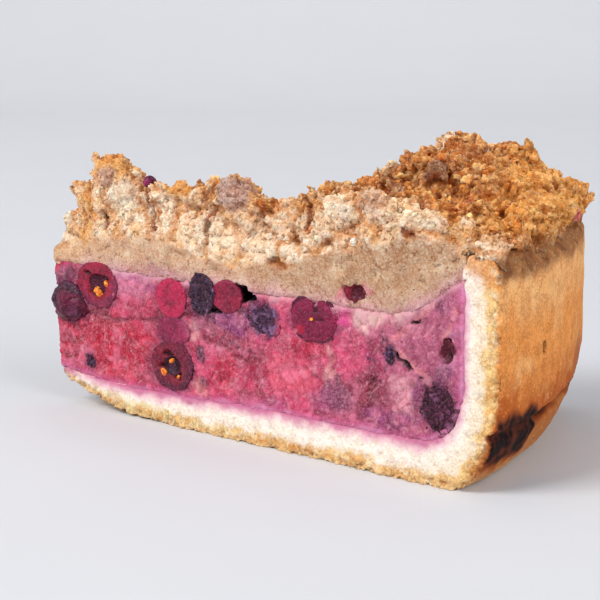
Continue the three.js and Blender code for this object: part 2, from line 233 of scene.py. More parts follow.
class Fine:
    """A piece of the slice as arrays of points, in millimetres."""

    def __init__(self, name, node, face_size):
        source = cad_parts[node]
        self.item = bpy.data.objects.new(name, source.data.copy())
        bpy.context.scene.collection.objects.link(self.item)
        self.even_out(face_size)
        self.item.data.materials.clear()
        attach(self.item, "root")
        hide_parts(node)

    def even_out(self, face_size):
        """Rebuilds the surface from small, even faces, and reads its points and edges."""
        remesh = self.item.modifiers.new("even faces", "REMESH")
        remesh.mode = "VOXEL"
        remesh.voxel_size = face_size * MM
        remesh.use_smooth_shade = True
        graph = bpy.context.evaluated_depsgraph_get()
        mesh = bpy.data.meshes.new_from_object(self.item.evaluated_get(graph))
        self.item.modifiers.clear()
        self.item.data = mesh
        mesh.name = self.item.name
        self.points = np.empty(len(mesh.vertices) * 3)
        mesh.vertices.foreach_get("co", self.points)
        self.points = self.points.reshape(-1, 3) / MM
        self.edges = np.empty(len(mesh.edges) * 2, np.int64)
        mesh.edges.foreach_get("vertices", self.edges)
        self.edges = self.edges.reshape(-1, 2)
        self.neighbours = np.maximum(np.bincount(self.edges.ravel(), minlength=len(self.points)), 1)

    def spread(self, values):
        """The mean of each point's neighbours, for one value or a place per point."""
        columns = values.reshape(len(self.points), -1)
        a, b = self.edges[:, 0], self.edges[:, 1]
        sums = [
            np.bincount(a, column[b], len(self.points)) + np.bincount(b, column[a], len(self.points))
            for column in columns.T
        ]
        return (np.stack(sums, 1) / self.neighbours[:, None]).reshape(values.shape)

    def relaxed(self, rounds):
        """The points after some rounds of smoothing."""
        result = self.points
        for _ in range(rounds):
            result = result * 0.5 + self.spread(result) * 0.5
        return result

    def normals(self):
        """The outward direction of the surface at each point."""
        self.store()
        found = np.empty(len(self.points) * 3)
        self.item.data.vertices.foreach_get("normal", found)
        return found.reshape(-1, 3)

    def push(self, amount, direction=None):
        """Moves the surface outward by an amount for each point, or along one direction."""
        way = self.normals() if direction is None else direction
        self.points = self.points + way * np.asarray(amount)[:, None]

    def meet_neighbours(self, amount, hidden=1.0):
        """Widens the piece where its neighbours hide it, and squares its edges where the knife cut it."""
        where = Places(self.points)
        normals = self.normals()
        sideways = normals - where.way_out * (normals * where.way_out).sum(1)[:, None]
        length = np.linalg.norm(sideways, axis=1)
        self.push(amount * hidden * ease(length, 0.2, 0.5) / np.maximum(length, 0.05), sideways)
        self.push(where.near_depth * ease(where.near_depth, 1.3, 0.4), where.way_out)

    def upward(self, rounds=8):
        """How far the broad surface around each point faces up, from -1 to 1."""
        kept = self.points
        self.points = self.relaxed(rounds)
        broad = self.normals()[:, 2]
        self.points = kept
        return broad

    def bulge(self, rounds=14):
        """How far each point stands out of its surroundings, in millimetres: crests above 0, gaps below."""
        around = self.relaxed(rounds)
        return ((self.points - around) * self.normals()).sum(1)

    def store(self):
        """Puts the points back into the mesh."""
        self.item.data.vertices.foreach_set("co", (self.points * MM).ravel())
        self.item.data.update()

    def mask(self, name, values):
        """Stores one value per point under a name that a material can read."""
        layer = self.item.data.attributes.new(name, "FLOAT", "POINT")
        layer.data.foreach_set("value", np.clip(values, 0, 1).astype(np.float32))

    def tint(self, name, colours):
        """Stores one colour per point under a name that a material can read."""
        write_tint(self.item.data, name, colours)


def write_tint(mesh, name, colours):
    """Stores one colour per point of a mesh."""
    layer = mesh.color_attributes.new(name, "FLOAT_COLOR", "POINT")
    full = np.concatenate([np.clip(colours, 0, 1), np.ones((len(colours), 1))], 1)
    layer.data.foreach_set("color", full.astype(np.float32).ravel())


# %% [markdown]
# ## Colours
# The colours were chosen from a baked slice and then adjusted, so that the averages of most small
# areas come close to it. Those that many marks share are in one palette, and the others stand where they
# are used. They are given as the screen shows them, and Blender works with light, so each is turned into
# linear light.

# %% Palette
def light(red, green, blue):
    """A screen colour, 0 to 255, as linear light."""
    shares = [channel / 255 for channel in (red, green, blue)]
    return np.array([((s + 0.055) / 1.055) ** 2.4 if s > 0.04 else s / 12.92 for s in shares])


PALETTE = {
    "flour": light(255, 238, 212),
    "cream": light(224, 182, 166),
    "petal": light(232, 192, 184),
    "gold": light(228, 166, 92),
    "amber": light(208, 130, 60),
    "toast": light(176, 100, 48),
    "bark": light(110, 58, 30),
    "ember": light(180, 80, 20),
    "ash": light(192, 158, 150),
    "scorched": light(126, 88, 70),
    "crimson": light(184, 10, 50),
    "coral": light(216, 84, 104),
    "rose": light(204, 68, 106),
    "pink": light(220, 116, 146),
    "blossom": light(218, 148, 176),
    "lilac": light(192, 122, 162),
    "magenta": light(200, 54, 124),
    "violet": light(134, 52, 112),
    "mauve": light(168, 84, 114),
    "dusty": light(216, 158, 166),
    "wine": light(124, 18, 44),
    "plum": light(88, 20, 60),
    "slate": light(104, 64, 96),
    "ink": light(44, 30, 52),
    "night": light(20, 5, 12),
}


def blend(colours, other, share):
    """Mixes another colour into one colour per point."""
    return colours + (other - colours) * np.clip(share, 0, 1)[:, None]


def plain(colour, count):
    """The same colour for many points."""
    return np.tile(colour, (count, 1))


# %% [markdown]
# ## Shader groups
# Three effects return in several materials: fine crumb, marbling by juice, and a wet film. Each is a
# node group with named inputs, built once and set in every material with its own sizes. They give only
# masks, values and heights; the shader itself stays in each material.

# %% Helpers for shader nodes
class Tree:
    """Short ways to add and join shader nodes in one tree."""

    def __init__(self, tree):
        self.tree = tree
        self.place = None

    def add(self, kind, **settings):
        node = self.tree.nodes.new(kind)
        for name, value in settings.items():
            setattr(node, name, value)
        return node

    def feed(self, socket, value):
        """Joins an output to a socket, or sets the socket to a plain value."""
        if isinstance(value, bpy.types.NodeSocket):
            self.tree.links.new(value, socket)
        elif isinstance(value, np.ndarray):
            socket.default_value = (*value, 1)
        else:
            socket.default_value = value

    def maths(self, operation, a, b=0.5, clamp=False):
        node = self.add("ShaderNodeMath", operation=operation, use_clamp=clamp)
        self.feed(node.inputs[0], a)
        self.feed(node.inputs[1], b)
        return node.outputs[0]

    def mixed(self, share, a, b, way="MIX"):
        node = self.add("ShaderNodeMix", data_type="RGBA", blend_type=way)
        self.feed(node.inputs[0], share)
        self.feed(node.inputs[6], a)
        self.feed(node.inputs[7], b)
        return node.outputs[2]

    def part(self, value, strength):
        return self.maths("MULTIPLY", value, strength)

    def rise(self, value, low, high, start=0.0, end=1.0):
        node = self.add("ShaderNodeMapRange", interpolation_type="SMOOTHSTEP")
        for socket, number in zip(node.inputs, (value, low, high, start, end)):
            self.feed(socket, number)
        return node.outputs[0]

    def where(self):
        """The place on the object, in metres. It is fixed to the food, whatever the view."""
        if self.place is None:
            self.place = self.add("ShaderNodeTexCoord").outputs["Object"]
        return self.place

    def noise(self, size, detail=4.0, roughness=0.6, warp=0.0):
        node = self.add("ShaderNodeTexNoise")
        self.feed(node.inputs["Vector"], self.where())
        self.feed(node.inputs["Scale"], self.maths("DIVIDE", 1000.0, size))
        node.inputs["Detail"].default_value = detail
        node.inputs["Roughness"].default_value = roughness
        node.inputs["Distortion"].default_value = warp
        return node.outputs["Fac"]

    def cells(self, size):
        node = self.add("ShaderNodeTexVoronoi")
        self.feed(node.inputs["Vector"], self.where())
        self.feed(node.inputs["Scale"], self.maths("DIVIDE", 1000.0, size))
        return node.outputs["Distance"]

    def mask(self, name):
        return self.add("ShaderNodeAttribute", attribute_name=name).outputs["Fac"]

    def tint(self, name):
        return self.add("ShaderNodeAttribute", attribute_name=name).outputs["Color"]


def new_group(name, inputs, outputs):
    """An empty shader group: its tree, its inputs by name, and the sockets that take its outputs."""
    group = bpy.data.node_groups.new(name, "ShaderNodeTree")
    for label, value in inputs.items():
        socket = group.interface.new_socket(name=label, in_out="INPUT", socket_type="NodeSocketFloat")
        socket.default_value = value
    for label in outputs:
        group.interface.new_socket(name=label, in_out="OUTPUT", socket_type="NodeSocketFloat")
    tree = Tree(group)
    return tree, tree.add("NodeGroupInput").outputs, tree.add("NodeGroupOutput").inputs


def use_group(tree, name, **values):
    """Places a group in a material with its own values, and gives its outputs by name."""
    node = tree.add("ShaderNodeGroup", node_tree=bpy.data.node_groups[name])
    for label, value in values.items():
        tree.feed(node.inputs[label.replace("_", " ")], value)
    return node.outputs


# %% [markdown]
# ### Fine crumb
# Short dough breaks into crumbs too small to model. The group mixes packed cells with fine noise.
# Light is partly random tone and partly painted light: high on a crumb's crown and low at its edges.
# Pores marks tiny holes, which the materials paint dark as painted shade, and Height feeds a bump.

# %% The fine crumb group
tree, given, taken = new_group("Fine crumb", {"Size": 1.0, "Pores": 0.5}, ("Light", "Pores", "Height"))
crown = tree.rise(tree.cells(given["Size"]), 0.7, 0.15)
dust = tree.noise(tree.maths("MULTIPLY", given["Size"], 0.6), detail=5, roughness=0.72)
patchy = tree.noise(tree.maths("MULTIPLY", given["Size"], 4.5), detail=3)
holes = tree.noise(tree.maths("MULTIPLY", given["Size"], 1.6), detail=3, roughness=0.5)
# Light: the crown share is a painted highlight on each crumb, and the two noises are random tone.
shade = tree.maths("ADD", tree.part(crown, 0.3), tree.part(tree.rise(dust, 0.32, 0.68), 0.45))
shade = tree.maths("ADD", shade, tree.part(tree.rise(patchy, 0.36, 0.64), 0.25))
# Pores: tiny holes, painted dark as shade where the materials use them.
pores = tree.maths("MULTIPLY", tree.rise(holes, 0.4, 0.32), given["Pores"], clamp=True)
tree.feed(taken["Light"], shade)
tree.feed(taken["Pores"], pores)
relief = tree.maths("ADD", tree.part(crown, 0.5), dust)
tree.feed(taken["Height"], tree.maths("SUBTRACT", relief, pores))

# %% [markdown]
# ### Marbling
# Juice creeps through a set filling and leaves dark mottles, pale threads and soft clouds. Warped noise
# does that: the warp pulls round blots into the torn, streaky shapes of real juice.

# %% The marbling group
tree, given, taken = new_group("Marbling", {"Size": 3.0}, ("Clouds", "Mottles", "Threads", "Height"))
clouds = tree.noise(given["Size"], detail=4, warp=0.8)
mottles = tree.noise(tree.part(given["Size"], 0.35), detail=5, roughness=0.7, warp=0.7)
veins = tree.noise(tree.part(given["Size"], 0.8), detail=5, roughness=0.6, warp=1.8)
closeness = tree.maths("ABSOLUTE", tree.maths("SUBTRACT", veins, 0.5))
tree.feed(taken["Clouds"], tree.rise(clouds, 0.38, 0.62))
tree.feed(taken["Mottles"], tree.rise(mottles, 0.47, 0.66))
tree.feed(taken["Threads"], tree.rise(closeness, 0.04, 0.0))
tree.feed(taken["Height"], tree.maths("ADD", mottles, tree.part(veins, 0.6)))

# %% [markdown]
# ### Wet film
# Fruit and juice are wet in spots and dry in others. The group gives a roughness that runs from wet to
# dry in small patches, and the fine bumps that break up highlights.

# %% The wet film group
tree, given, taken = new_group("Wet film", {"Size": 1.5, "Wet": 0.15, "Dry": 0.5}, ("Roughness", "Height"))
film = tree.noise(given["Size"], detail=3, roughness=0.5)
fine = tree.noise(tree.part(given["Size"], 0.3), detail=3)
spots = tree.rise(film, 0.38, 0.58)
span = tree.maths("SUBTRACT", given["Dry"], given["Wet"])
tree.feed(taken["Roughness"], tree.maths("ADD", given["Wet"], tree.maths("MULTIPLY", spots, span)))
tree.feed(taken["Height"], tree.maths("ADD", film, tree.part(fine, 0.4)))
print("shader groups:", [group.name for group in bpy.data.node_groups])


# %% Start a material
def new_material(name, roughness=0.8, specular=0.4, glow=0.0):
    """A material with its Principled shader and a way to add nodes. Glow is light inside the food."""
    material = bpy.data.materials.new(name)
    material.use_nodes = True
    tree = Tree(material.node_tree)
    shader = material.node_tree.nodes["Principled BSDF"]
    shader.inputs["Roughness"].default_value = roughness
    shader.inputs["Specular IOR Level"].default_value = specular
    shader.inputs["Subsurface Weight"].default_value = glow
    shader.inputs["Subsurface Radius"].default_value = (1.0, 0.5, 0.25)
    shader.inputs["Subsurface Scale"].default_value = 1.6 * MM
    return material, tree, shader


def add_bump(tree, shader, height, depth, strength=1.0):
    """Lets a height tilt the light on the surface. Depth is in millimetres."""
    bump = tree.add("ShaderNodeBump")
    bump.inputs["Strength"].default_value = strength
    bump.inputs["Distance"].default_value = depth * MM
    tree.feed(bump.inputs["Height"], height)
    tree.feed(shader.inputs["Normal"], bump.outputs["Normal"])


# %% [markdown]
# ## Marks on a cut
# Most of what shows in a cut is a spot or a line: a stain, a hole, a crack, a pale skin between two
# bits of filling. Both are measured on the cut itself, along it and up, from a list of plain numbers.
# A small pull from swells bends every edge, so that no spot reads as an oval and no line as straight.

# %% Spots and lines on a cut
SMALL_PULL = (0.4, 1.6, 271)
TUCK = 1.2


def pull_of(points, amount, size, seed):
    """How far marks are pulled along and up at each point, in millimetres."""
    return amount * rough(points, size, seed), amount * rough(points, size, seed + 5)


def spot(where, cut, mark, pull):
    """1 inside an uneven spot (along, up, half width, half height), 0 outside it."""
    across = (where.along[cut] + pull[0] - mark[0]) / mark[2]
    rise = (where.up + pull[1] - mark[1]) / mark[3]
    return ease(np.hypot(across, rise), 1.22, 0.6)


def line(where, cut, bends, half_width, pull):
    """1 on a bent line of (along, up) places, 0 beyond its half width."""
    nearest = np.full(len(where.up), 99.0)
    along, up = where.along[cut] + pull[0], where.up + pull[1]
    for (a0, u0), (a1, u1) in zip(bends, bends[1:]):
        da, du = a1 - a0, u1 - u0
        share = np.clip(((along - a0) * da + (up - u0) * du) / (da * da + du * du), 0, 1)
        nearest = np.minimum(nearest, np.hypot(along - a0 - share * da, up - u0 - share * du))
    return ease(nearest, half_width, half_width * 0.35)


def cut_relief(points):
    """The shallow relief a knife leaves in all the layers alike, in millimetres."""
    return 0.24 * rough(points, 7, 101) + 0.12 * rough(points, 2.2, 105, 2)


def cut_share(where):
    """1 on the two cuts, and 0 a little way behind them."""
    return ease(where.near_depth, 1.2, 0.4)


def past_filling(points):
    """Distance beyond the filling's border, in millimetres, and below 0 inside it. It wavers a little."""
    where = Places(points)
    above_or_below = np.maximum(where.up - filling_top(where.radius), filling_floor(where.radius) - where.up)
    return np.maximum(above_or_below, where.radius - WALL_INSIDE) + 0.18 * rough(points, 3, 251, 2)


# %% [markdown]
# ## The pastry shell
# Short pastry is baked against the tin: smooth and golden outside, and pale and sandy where it is cut.
# Near the foot the wall's dough meets the base's dough, and berry juice has boiled out of that seam and
# turned dark. The golden skin fades into the pale crumb within a few millimetres, so how baked a point
# is follows from its distance to the outside.

# %% Shape of the shell
FOOT_DEPTH, FOOT_HEIGHT = 9, 22


def below_outside(where):
    """Distance to the shell's outer skin, in millimetres."""
    foot = FOOT_DEPTH * np.clip(1 - where.up / FOOT_HEIGHT, 0, 1) ** 2
    return np.minimum(PIE_RADIUS - foot - where.radius, where.up - underside(where.radius))


SEAM_HEIGHT = 12.6

shell = Fine("pastry_shell", "crust", FACE_SIZES["shell"])
where = Places(shell.points)
shell.meet_neighbours(0.45, ease(below_outside(where), 3, 5))
shell.points[:, 2] += 1.2 * ease(where.up, 46.6, 48) * ease(where.radius, 129.6, 127.6)
where = Places(shell.points)
is_cut = cut_share(where)
skin_depth = below_outside(where)
is_outside = (1 - is_cut) * ease(skin_depth, 2.0, 0.9)
sandy = Blocks(stirred(shell.points, 0.5, 2, 203), 1.3, 201)
loose = ease(skin_depth, 4.5, 1.0)
crumbly = 0.1 * rough(shell.points, 1.4, 205) - (0.05 + 0.3 * loose) * sandy.crack + 0.5 * loose * sandy.face
pores = 0.6 * ease(swell(stirred(shell.points, 0.7, 2, 207), 1.7, 209), 0.66, 0.9)
tucked = TUCK * ease(past_filling(shell.points), 0.0, -0.5)
shell.push(is_cut * (cut_relief(shell.points) + crumbly - pores - tucked + 0.04), where.way_out)
baked = 0.2 * rough(shell.points, 9, 211) + 0.1 * rough(shell.points, 2.2, 217)
shell.push(is_outside * baked)
fringe = ease(where.near_depth, 3.0, 0.5) * ease(skin_depth, 2.2, 0.8)
shell.push(fringe * (0.4 * sandy.face - 0.25 * sandy.crack + 0.3 * rough(shell.points, 4, 219)))

# %% Blisters, the open seam and a gas hole in the wall
where = Places(shell.points)
seam_line = SEAM_HEIGHT + 0.8 * swell(shell.points, 9, 221)
near_cut = ease(np.abs(where.angle), 6.5, 11)
above_seam = where.up - seam_line
ragged = above_seam + 1.1 * rough(stirred(shell.points, 1.5, 4, 237) * [1, 1, 0.5], 3.4, 239)
boiled_over = 0.4 + 2.8 * near_cut
dripped = 0.4 + 6.5 * near_cut
seeped = ease(ragged, boiled_over + 1.6, boiled_over - 1.4) * ease(ragged, -dripped - 2.5, -dripped + 2.0)
seeped = seeped * ease(where.radius, 116, 121) * (1 - is_cut)
seam = ease(np.abs(above_seam), 1.5, 0.2) * ease(where.radius, 122, 125)
gape = 0.55 + 0.45 * swell(shell.points, 6, 223)
shell.push(-1.2 * seam * gape * (1 - is_cut * 0.5) * (1 - 0.95 * near_cut * (1 - is_cut)))
shell.push(seeped * (0.3 + 0.15 * swell(shell.points, 4, 225)))
grit = ease(where.up, 45.8, 47.4) * ease(where.radius, 122, 124)
shell.push(grit * (0.3 * sandy.face + 0.4 * sandy.dome - 0.3))
HOLE_ANGLE, HOLE_HEIGHT = math.radians(-9.1), 28.3
hole = [PIE_CENTRE_X + PIE_RADIUS * math.cos(HOLE_ANGLE), PIE_RADIUS * math.sin(HOLE_ANGLE), HOLE_HEIGHT]
hole_away = np.linalg.norm((shell.points - hole) * [1, 1, 0.75], axis=1)
shell.push(-2.2 * ease(hole_away, 1.0, 0.35))
shell.points[:, 2] = np.maximum(shell.points[:, 2], 0)
shell.store()
print("shell faces:", len(shell.item.data.polygons))

# %% Colours of the shell's baked skin
where = Places(shell.points)
skin_depth = below_outside(where)
streaks = rough(stirred(shell.points, 1.5, 6, 229) * [1, 1, 0.3], 2.2, 231)
tones = plain(light(238, 174, 110), len(shell.points))
tones = blend(tones, light(232, 150, 76), ease(where.up + 3 * streaks, 42, 32))
tones = blend(tones, light(184, 90, 28), ease(where.up + 4 * streaks, 27, 15))
tones = blend(tones, light(244, 194, 134), 0.35 * ease(rough(shell.points, 7, 233), 0.25, 0.8))
tones = blend(tones, light(196, 112, 50), 0.35 * ease(streaks, 0.1, 0.9))
under = ease(where.radius, 126, 119) * ease(where.up, 13, 6)
below_seam = ease(where.up, SEAM_HEIGHT + 0.3, SEAM_HEIGHT - 1)
tones = blend(tones, light(186, 112, 56), below_seam * (1 - under))
tones = blend(tones, light(236, 196, 142), np.maximum(under, ease(where.radius, 112, 100)))
# A darker band along the top of the wall, under the crumble's edge: partly over-baked crust, partly painted
# shade under the overhanging crumble.
rim = ease(where.up + 0.8 * rough(shell.points, 4, 243), 43.4, 46.4) * ease(where.radius, 120, 122.5)
tones = blend(tones, light(130, 84, 54), rim * 0.85)
tones = blend(tones, light(92, 52, 32), 0.7 * rim * ease(rough(shell.points, 3, 244), 0.0, 0.7))
tones = blend(tones, light(206, 146, 88), 0.5 * rim * ease(sandy.number, 0.78, 0.9))
outer = ease(where.radius, 119.5, 123) * (1 - is_cut)
# A grey-purple patch low on the wall, a little right of its middle, broken into streaks.
grey_patch_place = ease(np.abs(where.angle - 7.0), 5, 2) * ease(np.abs(where.up - 19), 7, 2)
tones = blend(tones, light(120, 70, 66), 0.5 * outer * grey_patch_place * ease(streaks, -0.6, 0.3))
on_wall = ease(where.radius, 112, 119)
broken_edge = blend(plain(light(244, 204, 142), len(tones)), light(246, 208, 142), on_wall)
broken_edge = blend(broken_edge, light(236, 214, 156), ease(where.radius, 70, 40))
broken_edge = blend(broken_edge, light(226, 156, 92), on_wall * ease(where.up, 41, 46))
broken_edge = blend(broken_edge, light(234, 158, 76), 0.75 * ease(sandy.number, 0.66, 0.86) * loose)
broken_edge = blend(broken_edge, light(254, 236, 202), 0.7 * ease(sandy.number, 0.34, 0.14) * loose)
broken_edge = blend(broken_edge, light(222, 150, 80), 0.4 * sandy.crack * loose)
tones = tones + (broken_edge - tones) * (is_cut * ease(skin_depth, 0.3, 1.3))[:, None]
shell.tint("skin", tones)

# %% Where the shell is golden, blushed or touched by juice
ragged = 1.0 * rough(shell.points, 3.4, 235) + 0.9 * (sandy.number - 0.5)
band = 3.3 + 0.7 * on_wall - 1.2 * ease(where.radius, 24, 8) + 0.6 * rough(shell.points, 8, 247)
golden = ease(skin_depth + ragged, band + 0.8, band - 0.8)
golden = np.maximum(golden, 0.35 * on_wall * ease(skin_depth, 8, 4))
towards_top = where.up + 1.5 * ragged + 0.4 * (where.radius - 125)
golden = np.maximum(golden, 0.9 * on_wall * ease(towards_top, 42, 46))
shell.mask("golden", np.maximum(1 - is_cut, golden))
shell.mask("juice", np.maximum(seeped, outer * seam * 0.9))
to_filling = np.minimum(filling_floor(where.radius) - where.up, 30)
beside = np.hypot(np.maximum(where.radius - 109.2, 0), np.maximum(20.8 - where.up, 0)) - 12
to_filling = np.where(where.radius > 109.2, beside, to_filling)
soft_edge = to_filling + 0.6 * rough(shell.points, 5, 241)
soft_edge = soft_edge + 0.5 * rough(shell.points, 1.8, 249) + 0.3 * on_wall
shell.mask("blush", is_cut * ease(soft_edge, 3.4, -0.8) * ease(where.up, 45, 40))
# The gas hole is painted black inside, as painted shade in the hole.
shell.mask("hole", ease(hole_away, 1.3, 0.7))

# %% [markdown]
# ### Pastry material
# From pale to baked: sandy flour where it is cut, the stored skin colours outside, and the dark sticky
# juice on top. Only the juice is glossy, so the roughness follows its mask.

# %% Pastry material
pastry, tree, shader = new_material("Short pastry", specular=0.14, glow=0.15)
crumb = use_group(tree, "Fine crumb", Size=0.7, Pores=0.5)
# The crumb's Light paints highlights on crumb crowns and shade at their edges, mixed with random tone; its
# pores are painted shade.
tone = tree.mixed(tree.rise(crumb["Light"], 0.1, 0.6), light(236, 216, 194), light(253, 244, 231))
tone = tree.mixed(tree.part(crumb["Pores"], 0.6), tone, light(206, 150, 96))
skin = tree.tint("skin")
skin = tree.mixed(tree.part(tree.rise(crumb["Light"], 0.6, 0.1), 0.5), skin, light(150, 84, 40))
skin = tree.mixed(tree.part(tree.rise(crumb["Light"], 0.6, 0.95), 0.4), skin, light(246, 206, 150))
fleck = tree.rise(tree.noise(1.4, detail=3), 0.66, 0.72)
skin = tree.mixed(tree.part(fleck, 0.6), skin, PALETTE["bark"])
tone = tree.mixed(tree.mask("golden"), tone, skin)
tone = tree.mixed(tree.part(tree.rise(tree.mask("blush"), 0.0, 0.65), 0.65), tone, light(228, 160, 184))
tone = tree.mixed(tree.part(tree.rise(tree.mask("blush"), 0.5, 1.0), 0.85), tone, light(192, 92, 136))
tarry = tree.mixed(tree.rise(tree.noise(3.4, detail=3), 0.42, 0.62), light(18, 3, 2), light(84, 32, 12))
tone = tree.mixed(tree.rise(tree.mask("juice"), 0.0, 0.55), tone, light(150, 74, 30))
tone = tree.mixed(tree.rise(tree.mask("juice"), 0.4, 1.0), tone, tarry)
# Painted shade: the gas hole goes black.
tone = tree.mixed(tree.mask("hole"), tone, PALETTE["night"])
tree.feed(shader.inputs["Base Color"], tone)
tree.feed(shader.inputs["Roughness"], tree.rise(tree.mask("juice"), 0.3, 0.9, 0.8, 0.66))
is_dry = tree.rise(tree.mask("juice"), 0.2, 0.8, 1.0, 0.1)
add_bump(tree, shader, tree.part(crumb["Height"], is_dry), 0.14, 0.8)
shell.item.data.materials.append(pastry)

# %% [markdown]
# ## Where the berries lie
# Each berry has its own plain solid. Its middle and half size on the cut are read from that solid
# before the filling is made, because the filling is stained around every berry.

# %% Places of the berries
class Berry:
    """The place of one berry on its cut, in millimetres."""

    def __init__(self, node):
        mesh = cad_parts[node].data
        points = np.empty(len(mesh.vertices) * 3)
        mesh.vertices.foreach_get("co", points)
        where = Places(points.reshape(-1, 3) / MM)
        self.node = node
        self.cut = BACK if "_back_" in node else FRONT
        along, up = where.along[self.cut], where.up
        self.middle = np.array([along.min() + along.max(), up.min() + up.max()]) / 2
        self.half = np.array([along.max() - along.min(), up.max() - up.min()]) / 2
        self.face = where.depth[self.cut].min()
        self.aside = np.array([math.cos(HALF_ANGLE), self.cut * math.sin(HALF_ANGLE), 0])

    def offsets(self, where):
        """Places as shares of the berry's half size: across and up from its middle."""
        across = (where.along[self.cut] - self.middle[0]) / self.half[0]
        return across, (where.up - self.middle[1]) / self.half[1]


berry_nodes = [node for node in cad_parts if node.startswith("berry_") and node != "berry_filling"]
berries = {node: Berry(node) for node in berry_nodes}
face_depths = sorted({round(float(berry.face), 1) for berry in berries.values()})
print("berries:", len(berries), "faces at depths", face_depths)

# %% [markdown]
# ## The berry filling
# The filling is a set, moist mass. Juice has stained it in big soft areas: crimson near the point, coral
# in the middle and mauve at the wall, with dark spots where skins burst. These areas are a list of
# spots with a colour, a place, a size and a strength. The other cut has the same kinds of spots in
# other places.

# %% Stains in the front cut: colour, along, up, half width, half height, strength
FRONT_STAINS = [
    ("crimson", 19.1, 16.8, 20, 8.6, 1.0),
    ("crimson", 8.7, 18.6, 8, 4.5, 0.7),
    ("coral", 26.4, 10.4, 9, 2.2, 0.4),
    ("rose", 24.2, 27.4, 10, 3.4, 0.6),
    ("blossom", 25.5, 32.6, 10, 3.6, 0.6),
    ("lilac", 22.5, 35.2, 14, 1.8, 0.8),
    ("pink", 10.5, 25.6, 3.4, 1.4, 0.8),
    ("plum", 5.1, 32.7, 4.2, 2.6, 0.85),
    ("wine", 5.3, 11.5, 2.2, 1.4, 0.6),
    ("pink", 10, 13.2, 3.6, 1.5, 0.5),
    ("pink", 8.5, 9.8, 6.5, 1.4, 0.7),
    ("plum", 54.5, 27.4, 6.8, 2.0, 0.65),
    ("violet", 50.0, 25.4, 3.0, 2.6, 0.5),
    ("slate", 41.6, 36.2, 5.0, 1.3, 0.75),
    ("slate", 46.4, 34.5, 1.6, 2.4, 0.7),
    ("violet", 50.6, 37.2, 4.6, 1.5, 0.6),
    ("wine", 45.9, 30.4, 1.5, 3.6, 0.85),
    ("wine", 40.4, 26.1, 6.0, 0.7, 0.7),
    ("pink", 55.6, 22.4, 7.3, 4.6, 0.6),
    ("blossom", 50.5, 25.6, 4.6, 2.2, 0.5),
    ("wine", 51.6, 23.1, 2.2, 1.9, 0.6),
    ("cream", 47.4, 23.9, 1.6, 3.0, 0.6),
    ("ink", 49.2, 18.5, 1.1, 2.5, 0.85),
    ("ink", 50.9, 12.6, 1.5, 1.1, 0.8),
    ("cream", 48.6, 10.8, 2.6, 2.8, 0.45),
    ("crimson", 57.8, 15.8, 5.5, 4.7, 0.75),
    ("wine", 62.0, 20.4, 4.6, 2.6, 0.4),
    ("plum", 62.8, 29.9, 1.8, 1.8, 0.8),
    ("lilac", 65.8, 33.8, 3.4, 1.6, 0.7),
    ("violet", 60.4, 28.0, 3.2, 1.0, 0.6),
    ("wine", 65.3, 21.4, 4.6, 2.2, 0.6),
    ("coral", 76.6, 17.8, 9.0, 4.8, 0.7),
    ("crimson", 80.2, 25.0, 7.3, 2.6, 0.7),
    ("rose", 64.7, 15.0, 4.4, 3.7, 0.6),
    ("pink", 64.4, 11.0, 6.0, 1.8, 0.7),
    ("violet", 71.4, 11.0, 4.6, 1.3, 0.5),
    ("violet", 84.4, 12.4, 2.6, 3.0, 0.5),
    ("magenta", 92.7, 33.1, 5.0, 3.0, 0.85),
    ("magenta", 89.6, 37.0, 1.6, 2.2, 0.7),
    ("rose", 91.7, 26.0, 4.8, 4.6, 0.8),
    ("cream", 86.9, 23.2, 0.9, 4.0, 0.7),
    ("cream", 88.0, 19.4, 2.2, 1.1, 0.75),
    ("slate", 89.4, 15.2, 4.4, 3.6, 0.75),
    ("ink", 90.6, 18.6, 0.8, 1.7, 0.7),
    ("ink", 87.4, 17.6, 0.9, 1.3, 0.6),
    ("wine", 96.4, 16.8, 3.4, 5.6, 0.8),
    ("mauve", 91.3, 10.8, 7.6, 2.2, 0.5),
    ("petal", 97.6, 33.8, 5.4, 4.0, 0.95),
    ("petal", 103.0, 35.0, 5.0, 2.6, 0.85),
    ("cream", 99.6, 35.8, 7.5, 1.8, 0.7),
    ("blossom", 100.6, 30.4, 3.0, 2.0, 0.6),
    ("slate", 102.8, 30.2, 1.0, 1.2, 0.6),
    ("dusty", 105.6, 18.4, 4.8, 4.9, 0.95),
    ("violet", 110.6, 19.6, 1.4, 3.6, 0.6),
    ("violet", 103.0, 12.6, 8.0, 2.6, 0.7),
    ("mauve", 110.4, 30.5, 6.6, 6.2, 0.65),
    ("dusty", 108.0, 33.5, 4.0, 2.0, 0.4),
    ("lilac", 117.5, 36.5, 2.2, 5.0, 0.7),
    ("lilac", 118.0, 26.8, 2.6, 3.0, 0.6),
    ("slate", 116.6, 24.0, 1.8, 3.2, 0.6),
    ("slate", 114.6, 39.6, 2.6, 2.6, 0.5),
    ("magenta", 101.0, 25.0, 1.5, 3.0, 0.6),
    ("magenta", 97.5, 25.5, 2.4, 2.0, 0.5),
    ("ink", 3.4, 31.4, 3.2, 2.6, 0.85),
    ("magenta", 4.4, 34.2, 1.4, 0.9, 0.6),
    ("violet", 33.0, 32.0, 3.0, 0.9, 0.5),
    ("ink", 41.0, 35.6, 3.4, 1.2, 0.5),
    ("wine", 56.5, 25.6, 9.5, 3.8, 0.72),
    ("plum", 53.5, 28.6, 8.5, 2.4, 0.85),
    ("violet", 60.5, 27.6, 6.5, 2.6, 0.85),
    ("ink", 50.4, 29.4, 2.6, 0.8, 0.6),
    ("ink", 66.8, 31.0, 3.2, 2.8, 0.55),
]

